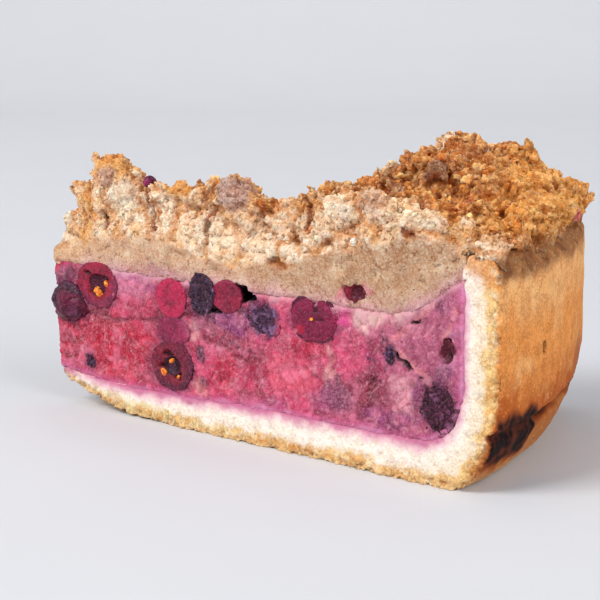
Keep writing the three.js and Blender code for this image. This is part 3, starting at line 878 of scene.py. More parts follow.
# %% Stains in the back cut
BACK_STAINS = [
    ("crimson", 14, 19, 12, 8, 0.9),
    ("pink", 30, 13, 8, 3, 0.6),
    ("lilac", 32, 34.6, 11, 1.8, 0.8),
    ("blossom", 40, 31, 5, 3, 0.6),
    ("rose", 44, 25, 8, 4, 0.7),
    ("wine", 47, 15, 3.4, 2.6, 0.7),
    ("coral", 60, 24, 9, 5, 0.8),
    ("violet", 56, 11, 7, 1.6, 0.6),
    ("magenta", 70, 33, 5, 3, 0.8),
    ("slate", 82, 15, 4, 3, 0.7),
    ("ink", 83, 18, 0.9, 1.6, 0.7),
    ("crimson", 74, 13, 6, 3, 0.7),
    ("blossom", 87, 33, 3.6, 3, 0.9),
    ("dusty", 99, 20, 6, 5, 0.9),
    ("mauve", 112, 30, 7, 7, 0.85),
    ("wine", 104, 26, 3, 3, 0.6),
    ("violet", 105, 12.5, 5.5, 2, 0.6),
    ("lilac", 118.5, 32, 2, 7, 0.6),
    ("ink", 67, 24, 1.2, 1.8, 0.8),
    ("ink", 31, 24, 1.5, 1.2, 0.7),
    ("cream", 57, 33, 1, 3, 0.5),
]

# %% Holes and cracks the knife opened: along, up, half width, half height, depth
GAS_HOLE = (61.8, 34.5, 1.9, 1.8)
FRONT_HOLES = [
    (*GAS_HOLE, 5.0),
    (64.4, 33.9, 1.8, 0.8, 3.0),
    (54.6, 29.8, 2.6, 0.6, 1.8),
    (39.4, 26.2, 2.0, 0.4, 0.9),
    (108.9, 34.6, 1.0, 0.4, 1.4),
    (117.0, 31.6, 0.7, 0.5, 1.2),
]
BACK_HOLES = [
    (46, 22, 1.6, 1.2, 2.4),
    (70, 24.5, 2.2, 0.5, 1.6),
    (85.5, 28, 1.2, 1.6, 2.8),
    (106, 26, 1.8, 0.5, 1.4),
]
FRONT_CRACK = [(102.7, 28.4), (104.8, 26.4), (106.8, 25.6), (108.1, 24.1), (110.2, 22.7), (113.2, 20.4)]
BACK_CRACK = [(92, 30), (95, 28), (97.5, 27.4), (101, 25)]
FRONT_TEARS = [
    [(6.8, 23.1), (12, 23.6), (16.6, 23.4), (26.8, 23.8), (36.7, 25.0)],
    [(35.4, 26.6), (39.9, 26.4), (46.3, 27.2)],
    [(50.9, 21.9), (58.5, 21.1), (62.9, 19.0)],
]
BACK_TEARS = [[(18, 24), (26, 25), (33, 23)], [(56, 19), (64, 21), (72, 20)]]
FRONT_SKINS = [
    [(113.8, 38.6), (109.9, 35.6), (106.7, 32.4), (103.2, 29.8)],
    [(118.9, 38.4), (117.8, 35.6), (116.6, 31.7)],
    [(103.4, 29.3), (106.0, 27.0), (108.6, 25.2), (113.6, 22.2)],
]
BACK_SKINS = [[(108, 38), (104, 33), (99, 29)], [(91, 31), (96, 28.6), (101.6, 26)]]
MARKS = {
    FRONT: (FRONT_STAINS, FRONT_HOLES, FRONT_CRACK, FRONT_TEARS, FRONT_SKINS),
    BACK: (BACK_STAINS, BACK_HOLES, BACK_CRACK, BACK_TEARS, BACK_SKINS),
}


def clear_of_sunk(points):
    """1 where a layer may widen, and a ragged lower value around the berries that sank into their holes."""
    where = Places(points)
    clear = np.ones(len(points))
    for berry in berries.values():
        if "sunk" in berry.node:
            clear = np.minimum(clear, ease(np.hypot(*berry.offsets(where)), 1.3, 1.7))
    return clear + (1 - clear) * (0.4 + 0.9 * rough(points, 1.6, 259, 2))


# %% Shape of the filling
filling = Fine("berry_filling_mass", "berry_filling", FACE_SIZES["filling"])
filling.meet_neighbours(0.7, clear_of_sunk(filling.points))
places = filling.points
where = Places(places)
is_cut = cut_share(where)
curds = Blocks(stirred(places, 1.2, 3, 261), 2.4, 263)
soft = cut_relief(places) + 0.2 * rough(places, 1.5, 265) - 0.25 * curds.crack
torn = 0.6 * ease(swell(stirred(places, 1, 3, 267), 3.0, 269), 0.5, 0.9)
filling.push(is_cut * (soft - torn - TUCK * ease(past_filling(places), 0.0, 0.6)), where.way_out)
small_pull = pull_of(places, *SMALL_PULL)
painted_hole_shade, seams = np.zeros(len(places)), np.zeros(len(places))
for cut, (_, holes, crack, tears, _) in MARKS.items():
    near = ease(where.depth[cut], 2.5, 0.8)
    depth = np.zeros(len(places))
    for *mark, deep in holes:
        depth = np.maximum(depth, deep * spot(where, cut, mark, small_pull))
    beads = ease(swell(places, 1.5, 273), -0.35, 0.2)
    depth = np.maximum(depth, 1.0 * line(where, cut, crack, 0.75, small_pull) * beads)
    for bends in tears:
        seams = np.maximum(seams, near * line(where, cut, bends, 0.8, pull_of(places, 0.7, 4, 275)))
    filling.push(-depth * near - 0.5 * seams * near, outward(cut))
    painted_hole_shade = np.maximum(painted_hole_shade, ease(where.depth[cut], 6, 4.5) * ease(depth, 0.3, 1.1))
filling.store()
print("filling faces:", len(filling.item.data.polygons))

# %% Large stains of the filling
def juice_areas(points, where):
    """The large areas that juice has coloured, and the pale skins between curds."""
    pull, small_pull = pull_of(points, 1.3, 5, 277), pull_of(points, *SMALL_PULL)
    tints = plain(PALETTE["rose"], len(points))
    tints = blend(tints, PALETTE["crimson"], ease(where.near_along, 60, 10) * 0.5)
    tints = blend(tints, PALETTE["mauve"], ease(where.near_along, 80, 108) * 0.9)
    for cut, (stains, _, _, _, skins) in MARKS.items():
        on_cut = where.is_front if cut == FRONT else ~where.is_front
        for name, *mark, strength in stains:
            tints = blend(tints, PALETTE[name], strength * spot(where, cut, mark, pull) * on_cut)
        for bends in skins:
            pale_skin = line(where, cut, bends, 0.8, small_pull)
            tints = blend(tints, light(228, 150, 150), 0.75 * on_cut * pale_skin)
    return tints


# %% Curds, fibres and specks of the filling
def curdled(points, tints):
    """The colours with soft streaks, single curds, pale fibres and dark specks of berry skin."""
    streaky = stirred(points, 2.2, 5, 279)
    tints = blend(tints, tints * light(190, 90, 136), 0.8 * ease(rough(streaky, 5, 281), 0.1, 0.8))
    tints = blend(tints, light(232, 136, 164), 0.4 * ease(rough(streaky, 3.4, 285), 0.15, 0.8))
    curds = Blocks(stirred(points, 1.2, 3, 261), 2.4, 263)
    tints = tints * (0.82 + 0.36 * curds.number)[:, None]
    # Cracks between curds are painted darker, as painted shade in them.
    tints = blend(tints, tints * light(186, 84, 126), 0.5 * curds.crack)
    fibres = 1 - np.abs(rough(stirred(points, 1.2, 3, 287), 2.6, 289, 2))
    tints = blend(tints, light(240, 170, 182), 0.4 * ease(fibres, 0.92, 0.995))
    specks = ease(swell(stirred(points, 0.8, 2, 291), 1.5, 293), 0.58, 0.78)
    specks = specks * ease(rough(points, 9, 295), -0.3, 0.4)
    return blend(tints, PALETTE["ink"], 0.75 * specks)


# %% Stains around the berries, and the tinted edges of the filling
def filling_colour(points):
    """The colour of the filling at many points, and how calm it is there, near the layers around it."""
    where = Places(points)
    tints = curdled(points, juice_areas(points, where))
    for berry in berries.values():
        away = np.hypot(*berry.offsets(where)) + 0.16 * rough(points, 2.2, 297)
        near = ease(where.depth[berry.cut], 3, 1) * (0 if berry.node == "berry_on_crumble" else 1)
        tints = blend(tints, PALETTE["plum"], 0.55 * near * ease(away, 1.4, 1.0))
    floor_gap = where.up - filling_floor(where.radius) + 0.5 * rough(points, 4, 301)
    wall_gap = WALL_INSIDE - where.radius + 0.5 * rough(points, 4, 303)
    edge_gap = np.minimum(floor_gap, wall_gap)
    tints = blend(tints, light(202, 84, 140), ease(edge_gap, 2.4, 0.6) * 0.5)
    tints = blend(tints, light(224, 150, 188), ease(edge_gap, 1.3, -0.2) * 0.85)
    top_gap = filling_top(where.radius) - where.up + 0.8 * rough(points, 3.4, 305)
    seep = ease(top_gap, 2.2, -0.5) * ease(where.near_along, 9, 16)
    tints = blend(tints, light(216, 160, 168), seep * 0.9)
    return tints, np.maximum(seep, ease(edge_gap, 1.6, 0.2))


tints, calm = filling_colour(places)
# The tears are painted wine-dark, as painted shade in the creases they leave.
tints = blend(tints, PALETTE["wine"], 0.8 * seams)
# The holes the knife opened are painted black inside, as painted shade.
filling.tint("stain", blend(tints, PALETTE["night"], painted_hole_shade))
filling.mask("hole", painted_hole_shade)
filling.mask("calm", calm)

# %% [markdown]
# ### Filling material
# The stored stain gives the large areas, with painted shade in the holes, the tears and the cracks between
# curds. Marbling adds what is finer: crimson mottles, pale threads of set cream and small light flecks. A
# wet film makes the small glints of a moist cut.

# %% Filling material
custard, tree, shader = new_material("Berry filling", specular=0.2, glow=0.06)
broad_marble = use_group(tree, "Marbling", Size=7.0)
marble = use_group(tree, "Marbling", Size=2.4)
fine_marble = use_group(tree, "Marbling", Size=1.0)
film = use_group(tree, "Wet film", Size=1.1, Wet=0.2, Dry=0.6)
tone = tree.tint("stain")
stirred_in = tree.rise(broad_marble["Clouds"], 0.0, 1.0, 0.25, 1.0)
lively = tree.maths("MULTIPLY", tree.maths("SUBTRACT", 1.0, tree.mask("calm")), stirred_in)
deep = tree.mixed(1.0, tone, light(214, 96, 132), "MULTIPLY")
tone = tree.mixed(tree.maths("MULTIPLY", tree.part(marble["Mottles"], 0.75), lively), tone, deep)
tone = tree.mixed(tree.maths("MULTIPLY", tree.part(fine_marble["Mottles"], 0.45), lively), tone, deep)
pale = tree.mixed(0.4, tone, light(246, 178, 198))
tone = tree.mixed(tree.part(marble["Threads"], 0.6), tone, pale)
tone = tree.mixed(tree.maths("MULTIPLY", tree.part(fine_marble["Threads"], 0.5), lively), tone, pale)
grain = tree.rise(tree.noise(0.6, detail=2, roughness=0.6), 0.54, 0.68)
tone = tree.mixed(tree.maths("MULTIPLY", tree.part(grain, 0.55), lively), tone, pale)
# Painted shade: the opened holes go black.
tone = tree.mixed(tree.mask("hole"), tone, PALETTE["night"])
tree.feed(shader.inputs["Base Color"], tone)
tree.feed(shader.inputs["Roughness"], film["Roughness"])
add_bump(tree, shader, tree.maths("ADD", marble["Height"], film["Height"]), 0.16, 0.7)
filling.item.data.materials.append(custard)

# %% [markdown]
# ## Dough above the filling
# The streusel layer and the crumble heap are the same dough, baked dense below and loose above. One
# function colours both, so that the eye finds no joint between them. It knows how deep in the slice a
# point lies, whether it stands above the line where the dough starts to crumble, and which spots of the
# cut are fresh and white, golden, or grey from juice. It also paints light and shade: lighter crests as
# painted highlights, and darker cracks and gaps as painted shade.

# %% Spots of the dough in the front cut: colour, along, up, half width, half height, strength
DOUGH_SPOTS = [
    ("flour", 23.7, 52.4, 4.4, 5.4, 0.9),
    ("flour", 30.6, 53.3, 1.6, 3.2, 0.8),
    ("flour", 38.0, 50.9, 2.8, 4.4, 0.8),
    ("flour", 61.7, 48.0, 9.5, 3.4, 0.35),
    ("flour", 51.3, 49.1, 3.0, 3.0, 0.5),
    ("flour", 87.0, 54.7, 5.0, 2.8, 0.55),
    ("flour", 106, 56.2, 10.0, 2.6, 0.6),
    ("gold", 21.3, 60.0, 6.0, 3.0, 0.85),
    ("gold", 12.3, 47.3, 3.0, 6.6, 0.6),
    ("amber", 36.3, 50.4, 1.5, 3.0, 0.9),
    ("gold", 42.2, 56.3, 4.5, 3.4, 0.85),
    ("gold", 52.9, 56.1, 1.6, 4.4, 0.85),
    ("amber", 69.0, 56.3, 2.8, 4.6, 0.8),
    ("gold", 78.8, 56.6, 5.0, 3.0, 0.7),
    ("gold", 119, 53.5, 3.0, 3.0, 0.7),
    ("gold", 100, 58.6, 9.0, 1.8, 0.6),
    ("ash", 58.8, 56.9, 4.9, 4.4, 0.85),
    ("ash", 20.2, 58.1, 2.6, 2.6, 0.7),
    ("ash", 96.6, 58.4, 4.0, 3.0, 0.45),
    ("gold", 62.5, 60.6, 4.4, 0.9, 0.7),
    ("amber", 72.4, 42.4, 3.4, 0.9, 0.6),
    ("pink", 90.2, 37.4, 2.4, 2.4, 0.75),
    ("pink", 96.6, 40.2, 1.6, 1.2, 0.5),
    ("violet", 38.0, 36.8, 6.0, 1.2, 0.5),
]
DOUGH_CRACKS = [
    [(19.0, 52.5), (18.6, 49.1), (18.8, 45.0)],
    [(33.3, 55.1), (34.2, 52.1), (33.8, 49.1), (34.7, 46.8)],
    [(52.1, 58.9), (51.1, 54.8), (51.6, 49.8), (51.9, 45.7)],
    [(66.2, 59.4), (67.0, 56.1), (66.4, 52.1)],
    [(68.1, 42.4), (71.0, 42.8), (74.4, 41.8)],
    [(78.8, 57), (80.2, 53.4), (79.4, 50.4)],
    [(106, 52.5), (108.4, 52.3), (111.1, 52.2)],
]


# %% How the dough breaks
class Dough:
    """The dough at many points: its clumps, lumps, grains and cracks, and where it is crumbly."""

    def __init__(self, points, where):
        wander = stirred(points, 1.6, 6, 401)
        self.clumps, self.lumps = Blocks(wander, 9.0, 411), Blocks(wander, 3.8, 421)
        self.grains = Blocks(stirred(points, 0.4, 1.5, 429), 1.4, 431)
        self.broken = ease(where.up - crumb_line(where.near_along) + 0.9 * rough(points, 3, 311), -0.8, 0.8)
        pull = pull_of(points, 0.7, 3, 335)
        self.cracks = np.zeros(len(points))
        for bends in DOUGH_CRACKS:
            for cut in (FRONT, BACK):
                found = line(where, cut, bends, 1.1, pull) * ease(where.depth[cut], 4, 2)
                self.cracks = np.maximum(self.cracks, found)
        self.cracks *= ease(swell(points, 2.6, 339), -0.7, 0.0)

    def grain_relief(self):
        """The relief of single crumbs, in millimetres."""
        return 0.45 * self.grains.dome + 0.4 * (self.grains.number - 0.5) + 0.2 * self.grains.face - 0.25

    def knife_relief(self, points):
        """The relief of the dough in a cut: smooth where it is dense, granular where it is crumbly."""
        lumps = 0.6 * self.lumps.face + 0.3 * (self.lumps.number - 0.5) - 0.4 * self.lumps.crack
        pits = 0.7 * ease(swell(stirred(points, 0.7, 2, 345), 1.9, 347), 0.62, 0.85)
        dense = 0.1 * rough(points, 1.4, 349) - pits
        return cut_relief(points) + dense + self.broken * (lumps + self.grain_relief()) - 1.4 * self.cracks


# %% Colour of the dough
def dough_colour(points, where, dough, crest, upward):
    """Colours for points of the streusel and the crumble, before their finest crumbs."""
    grains, open_side = dough.grains, ease(where.near_along, 66, 76) * ease(where.near_along, 116, 106)
    inside = ease(where.near_depth, 1.5 + 5 * open_side, 6 + 8 * open_side) * ease(where.up, 46, 50)
    broken = np.maximum(dough.broken, inside)
    dense = plain(light(209, 171, 141), len(points))
    dense = blend(dense, light(194, 157, 126), ease(where.near_along, 40, 80))
    dense = blend(dense, light(216, 170, 126), ease(where.near_along, 24, 6) * 0.7)
    dense = blend(dense, light(232, 204, 170), 0.55 * ease(rough(points, 3.4, 315), 0.1, 0.8))
    dense = blend(dense, light(166, 120, 88), 0.6 * ease(rough(points, 4, 319), 0.1, 0.9))
    specks = ease(swell(stirred(points, 0.6, 2, 351), 1.3, 353), 0.55, 0.8)
    dense = blend(dense, light(146, 96, 62), 0.5 * specks)
    pale = plain(light(255, 224, 180), len(points))
    pale = blend(pale, PALETTE["flour"], 0.8 * ease(grains.number, 0.2, 0.6))
    pale = blend(pale, light(255, 246, 228), 0.6 * ease(dough.lumps.number, 0.4, 0.8))
    pale = blend(pale, light(244, 190, 116), 0.6 * ease(rough(points, 6, 323), 0.25, 0.85))
    # Cracks between clumps and grains are painted darker, as painted shade.
    pale = blend(pale, light(222, 150, 78), 0.8 * np.maximum(dough.clumps.crack, 0.5 * dough.lumps.crack))
    pale = blend(pale, light(218, 160, 104), 0.5 * grains.crack)
    oven = plain(light(244, 168, 84), len(points))
    oven = blend(oven, light(212, 126, 54), ease(rough(points, 7, 327), -0.5, 0.5))
    oven = blend(oven, light(158, 88, 38), 0.7 * ease(grains.number, 0.4, 0.05))
    oven = blend(oven, light(252, 206, 130), 0.75 * ease(grains.number, 0.6, 0.95))
    # Painted shade in the cracks of the baked crumble.
    oven = blend(oven, light(132, 62, 20), 0.65 * np.maximum(grains.crack, dough.lumps.crack))
    oven = blend(oven, light(250, 206, 140), 0.4 * ease(dough.lumps.number, 0.75, 0.9))
    # Painted highlight: crests are lighter.
    oven = blend(oven, light(250, 214, 156), 0.35 * ease(crest, 0.2, 0.9))
    top_side = 0.8 * ease(upward, 0.2, 0.7) * ease(where.up, 50, 55)
    baked = np.maximum(inside, top_side * (1 - 0.7 * open_side * ease(where.near_depth, 14, 9)))
    colours = blend(dense, blend(pale, oven, baked), broken)
    pull = pull_of(points, 1.1, 4, 331)
    for name, *mark, strength in DOUGH_SPOTS:
        shares = [spot(where, cut, mark, pull) * ease(where.depth[cut], 7, 3) for cut in (FRONT, BACK)]
        colours = blend(colours, PALETTE[name], strength * np.maximum(*shares))
    # Painted shade in the gaps: darker the deeper a point sinks below its surroundings.
    colours = blend(colours, light(190, 122, 64), 0.65 * broken * (1 - baked) * ease(crest, -0.3, -0.9))
    colours = blend(colours, light(146, 68, 24), 0.75 * broken * baked * ease(crest, -0.2, -0.8))
    return blend(colours, PALETTE["bark"], 0.8 * broken * ease(crest, -0.6, -1.4))


# %% Shape of the streusel layer
layer = Fine("streusel_layer", "baked_streusel_layer", FACE_SIZES["streusel"])
layer.meet_neighbours(0.75, clear_of_sunk(layer.points))
where = Places(layer.points)
is_cut = cut_share(where)
dough = Dough(layer.points, where)
hole = spot(where, FRONT, GAS_HOLE, pull_of(layer.points, *SMALL_PULL))
near_hole = hole * ease(where.depth[FRONT], 2.5, 0.8)
tucked = TUCK * ease(past_filling(layer.points), 0.0, -0.6)
layer.push(is_cut * (dough.knife_relief(layer.points) - tucked) - 5.0 * near_hole, where.way_out)
hole = ease(hole, 0.02, 0.14) * ease(where.depth[FRONT], 6, 4.5)
worn = ease(where.up, 38, 41.5) * ease(where.near_along, 12, 3)
layer.points[:, 0] += 3.0 * worn
layer.store()

# %% Colour of the streusel layer
level = np.zeros(len(layer.points))
tones = dough_colour(layer.points, where, dough, layer.bulge(8) * (1 - hole), level)
fruit_gap = where.up - filling_top(where.radius) + 0.9 * rough(layer.points, 3.4, 305)
fruit_gap += 2.5 * ease(where.near_along, 14, 7)
tones = blend(tones, light(206, 164, 158), 0.4 * ease(fruit_gap, 5.0, 1.5))
tones = blend(tones, light(216, 160, 168), 0.9 * ease(fruit_gap, 2.6, -0.6))
# The drawn cracks and the gas hole are painted dark, as painted shade in them.
tones = blend(tones, PALETTE["toast"], 0.8 * dough.cracks)
tones = blend(tones, PALETTE["night"], hole)
layer.tint("dough", tones)
layer.mask("gap", np.maximum(dough.cracks * 0.7, hole))
print("streusel faces:", len(layer.item.data.polygons))

# %% [markdown]
# ### Dough material
# The large colours are stored, so the material adds what is smaller than a face: painted highlights on
# the crowns of single crumbs with random tone, and painted shade in their pores and in the stored cracks,
# gaps and gas hole. Streusel and crumble share this recipe, with finer grain in the dense layer.

# %% Dough materials
def dough_material(name, size, pores, contrast, depth):
    """A material for baked dough with crumbs of a size in millimetres."""
    material, tree, shader = new_material(name, roughness=0.8, specular=0.12, glow=0.08)
    crumb = use_group(tree, "Fine crumb", Size=size, Pores=pores)
    tone = tree.tint("dough")
    darker = tree.mixed(1.0, tone, light(222, 178, 138), "MULTIPLY")
    lighter = tree.mixed(0.45, tone, light(255, 240, 216))
    # Painted light and shade of single crumbs, mixed with random tone.
    tone = tree.mixed(tree.part(tree.rise(crumb["Light"], 0.5, 0.15), contrast), tone, darker)
    tone = tree.mixed(tree.part(tree.rise(crumb["Light"], 0.5, 0.9), contrast), tone, lighter)
    tone = tree.mixed(tree.part(crumb["Pores"], 0.7), tone, light(150, 92, 50))
    # Painted shade in cracks, gaps and the gas hole, black where deepest.
    tone = tree.mixed(tree.part(tree.mask("gap"), 0.6), tone, PALETTE["bark"])
    tone = tree.mixed(tree.rise(tree.mask("gap"), 0.8, 1.0), tone, PALETTE["night"])
    tree.feed(shader.inputs["Base Color"], tone)
    add_bump(tree, shader, crumb["Height"], depth, 0.9)
    return material


streusel = dough_material("Baked streusel", 0.6, 0.8, 0.6, 0.16)
crumble = dough_material("Crumble", 0.75, 0.9, 0.7, 0.3)
layer.item.data.materials.append(streusel)

# %% [markdown]
# ## The crumble
# Crumble is butter, flour and sugar rubbed into clumps. Where the knife broke it, it is pale and
# granular; where the oven reached it, it is golden to brown, with deep orange gaps. The heap's plain
# clumps are softened first and then broken into large and middling blocks, each with a slanted face, a
# step against its neighbours and a crack around it. That stretches the faces, so the surface is rebuilt
# from even ones before two sizes of grain are pushed into it.

# %% Zones of the heap
def heap_zones(points):
    """The dough at points of the heap, and whether they lie in a cut, in its dense part or by the rim."""
    where = Places(points)
    dough = Dough(points, where)
    on_cut = ease(where.near_depth, 3.2, 1.2)
    thin = ease(where.radius, 117, 123)
    above_floor = np.maximum(ease(where.up - streusel_top(where.radius), 0.2, 2.5), thin)
    return dough, on_cut, on_cut * (1 - dough.broken), thin, above_floor


# %% Shape of the crumble heap
heap = Fine("crumble_heap", "crumble_topping", FACE_SIZES["heap"])
heap.points = heap.relaxed(3)
dough, on_cut, dense, thin, above_floor = heap_zones(heap.points)
clumps, lumps = dough.clumps, dough.lumps
coarse = 2.4 * clumps.face + 1.6 * (clumps.number - 0.5) - 2.8 * clumps.crack
middle = 0.7 * lumps.face + 0.5 * lumps.dome + 0.5 * (lumps.number - 0.5) - 0.5 * lumps.crack - 0.2
break_up = coarse * (1 - 0.5 * on_cut) + middle * (1 - 0.4 * on_cut)
lowered = (0.8 - 0.5 * on_cut) * (1 - thin)
heap.push((break_up - lowered) * above_floor * (1 - 0.9 * dense))
hollows = 1.1 * ease(swell(stirred(heap.points, 2, 6, 451), 6, 453), 0.35, 0.8) * on_cut * dough.broken
heap.push(-(hollows + 1.8 * dough.cracks) * above_floor)

# %% Rises and dips of the heap: x, y, radius, height
HEAP_TRIMS = [
    (-60.3, -0.7, 2.6, -2.4),
    (-56.6, -1.4, 2.6, 1.9),
    (-53.0, -2.9, 4.8, 3.0),
    (-9.5, 13, 6, -2.0),
    (-8, -17.4, 3.5, 1.3),
    (21.6, 8.1, 4, 1.2),
    (50.8, 20.4, 4, -6.8),
    (53, 24, 4, -4.2),
    (59.5, 21, 5, -2.4),
    (52, 7.2, 3.5, 1.6),
    (-28.9, -8.9, 3, -2.0),
    (-46, -6, 6, -1.6),
    (-31, -7, 3, -1.4),
    (-26.8, -8, 3.6, 3.0),
    (-3.5, -12.5, 4, 2.4),
    (-4, -3, 4, -2.0),
    (1, -16, 5, -1.6),
    (4, 9, 8, -2.0),
    (11.5, -25, 5, 2.0),
    (11.6, 22.6, 6, -2.4),
    (15.5, 11, 8, -2.6),
    (25, -2, 6, 1.6),
    (21, 26, 5, -1.2),
    (26.2, 27.5, 4.5, 3.2),
    (37, 30.5, 5, -1.4),
    (47.6, 36, 3, -3.0),
    (51, 37, 9, -4.6),
    (58, 35, 8, -3.2),
    (53, 17, 9, -1.5),
    (63, 16, 8, -1.5),
]
above_layer = heap.points[:, 2] - streusel_top(Places(heap.points).radius)
for x, y, radius, height in HEAP_TRIMS:
    away = np.hypot(heap.points[:, 0] - x, heap.points[:, 1] - y)
    heap.points[:, 2] += height * ease(away, radius, 0) * ease(above_layer, 2, 7)

# %% Even out the stretched faces, then add the grains
heap.store()
heap.even_out(FACE_SIZES["grained heap"])
dough, on_cut, dense, thin, above_floor = heap_zones(heap.points)
loose_grains = Blocks(stirred(heap.points, 0.4, 1.5, 461), 1.7, 463)
grained = above_floor * (1 - 0.5 * on_cut) * (1 - dense)
coarse_grains = 0.5 * loose_grains.dome + 0.4 * loose_grains.number - 0.3 * loose_grains.crack - 0.35
heap.push(coarse_grains * grained + dough.grain_relief() * above_floor * (1 - 0.9 * dense))
heap.points = (heap.points * 2 + heap.relaxed(1)) / 3

# %% Fit the heap to the cuts, the layer below and the rim
where = Places(heap.points)
lean = 3.3 * ease(where.up, 54, 49) - 2.5 * ease(where.up, 52, 56)
heap.points[:, 0] += lean * ease(where.near_along, 15, 5)
where = Places(heap.points)
heap.push(np.minimum(where.near_depth + 0.4, 0), where.way_out)
low = ease(where.up - streusel_top(where.radius), 3.5, 0.8)
settle = ease(where.near_depth, 3.2, 1.6) * np.maximum(low, dense * 0.9)
heap.push((where.near_depth + Dough(heap.points, where).knife_relief(heap.points)) * settle, where.way_out)
facing = heap.normals()
heap.points[:, 2] -= 0.9 * ease(facing[:, 2], -0.35, -0.8) * ease(where.up - streusel_top(where.radius), 3, 1)
where = Places(heap.points)
RIM_REACH, LARGEST_REACH = 129.1, 132.4
overhanging = 0.45 * np.maximum(where.up - 50.5, 0)
uneven = 0.5 * rough(heap.points, 4, 455) * ease(where.up, 50, 53)
reach = RIM_REACH + overhanging + uneven
over = np.maximum(where.radius - np.minimum(reach, LARGEST_REACH), 0)
radial = np.stack([np.cos(np.radians(where.angle)), np.sin(np.radians(where.angle)), 0 * where.up], 1)
heap.push(-0.95 * over, radial)
overhang = ease(where.radius, 124, 127) * ease(where.up, 54, 51)
heap.points += (heap.relaxed(8) - heap.points) * overhang[:, None]
heap.store()
print("heap faces:", len(heap.item.data.polygons))

# %% Colour of the heap
BLOCK_TOPS = [
    ("toast", 38.5, 1.1, 67.6, 6.5, 0.7),
    ("gold", 50.5, 0.1, 66.4, 6, 0.6),
    ("scorched", 37.8, -16.5, 64.4, 6.5, 0.75),
    ("scorched", 28.0, -17.0, 64.0, 5, 0.6),
    ("ember", 35.9, -17.5, 61.9, 3, 0.5),
    ("rose", 63.3, 8.4, 51.1, 1.6, 0.7),
    ("rose", 30.0, 22.0, 66.0, 2.0, 0.5),
    ("toast", 20.0, 12.0, 62.0, 7, 0.5),
]
where = Places(heap.points)
crest = heap.bulge()
tones = dough_colour(heap.points, where, dough, crest, heap.upward())
# The heap's lower edge by the rim is darker: partly over-baked crumble, partly painted shade where it meets
# the wall.
rim_bake_and_shade = ease(where.radius, 126, 128.5) * ease(where.up + 1.2 * rough(heap.points, 3, 459), 52, 49)
tones = tones * (1 + grained * (0.4 * loose_grains.number - 0.17))[:, None]
# Painted shade in the cracks between loose grains.
tones = blend(tones, tones * light(190, 130, 84), 0.5 * grained * loose_grains.crack)
sunny = ease(where.radius, 112, 120) * ease(where.depth[FRONT], 8, 16) * ease(where.up, 50, 54)
tones = blend(tones, light(250, 184, 98), 0.42 * sunny)
tones = blend(tones, light(128, 84, 52), 0.7 * rim_bake_and_shade)
for name, x, y, z, radius, strength in BLOCK_TOPS:
    away = np.linalg.norm(heap.points - [x, y, z], axis=1) + 1.4 * rough(heap.points, 3, 457)
    tones = blend(tones, PALETTE[name], strength * ease(away, radius, radius * 0.6))
# The drawn cracks are painted ember, and deep gaps go into the gap mask, as painted shade.
tones = blend(tones, PALETTE["ember"], 0.75 * dough.cracks)
heap.tint("dough", tones)
heap.mask("gap", np.maximum(dough.cracks * 0.7, ease(crest, -1.0, -2.4)))
heap.item.data.materials.append(crumble)

# %% [markdown]
# ## Loose crumbs
# Thousands of crumbs lie on the clumps and stick to the broken faces. Instances would be light, but a
# part that is passed on needs real surface, so a small uneven lump is copied with arrays and joined
# into one mesh for each kind. Every crumb sits on a point of the finished heap and takes its colour
# from there, a little lighter or darker.

# %% Lumps to copy
def ball(splits):
    """Points and triangles of a ball made from twenty triangles, each split in four a few times."""
    golden_ratio = (1 + 5 ** 0.5) / 2
    corners = []
    for a in (-1, 1):
        for b in (-golden_ratio, golden_ratio):
            corners += [(0, a, b), (a, b, 0), (b, 0, a)]
    corners = [np.array(c) / np.linalg.norm(c) for c in corners]
    side = min(np.linalg.norm(corners[0] - c) for c in corners[1:])
    near = [[np.linalg.norm(a - b) < side * 1.05 for b in corners] for a in corners]
    faces = []
    for i in range(12):
        for j in range(i + 1, 12):
            for k in range(j + 1, 12):
                if near[i][j] and near[j][k] and near[i][k]:
                    turn = np.dot(np.cross(corners[j] - corners[i], corners[k] - corners[i]), corners[i])
                    faces.append((i, j, k) if turn > 0 else (i, k, j))
    for _ in range(splits):
        middles, smaller = {}, []
        for face in faces:
            ring = []
            for a, b in zip(face, face[1:] + face[:1]):
                pair = (min(a, b), max(a, b))
                if pair not in middles:
                    middle = corners[a] + corners[b]
                    middles[pair] = len(corners)
                    corners.append(middle / np.linalg.norm(middle))
                ring.append(middles[pair])
            smaller += [(face[0], ring[0], ring[2]), (face[1], ring[1], ring[0])]
            smaller += [(face[2], ring[2], ring[1]), tuple(ring)]
        faces = smaller
    return np.array(corners), np.array(faces)


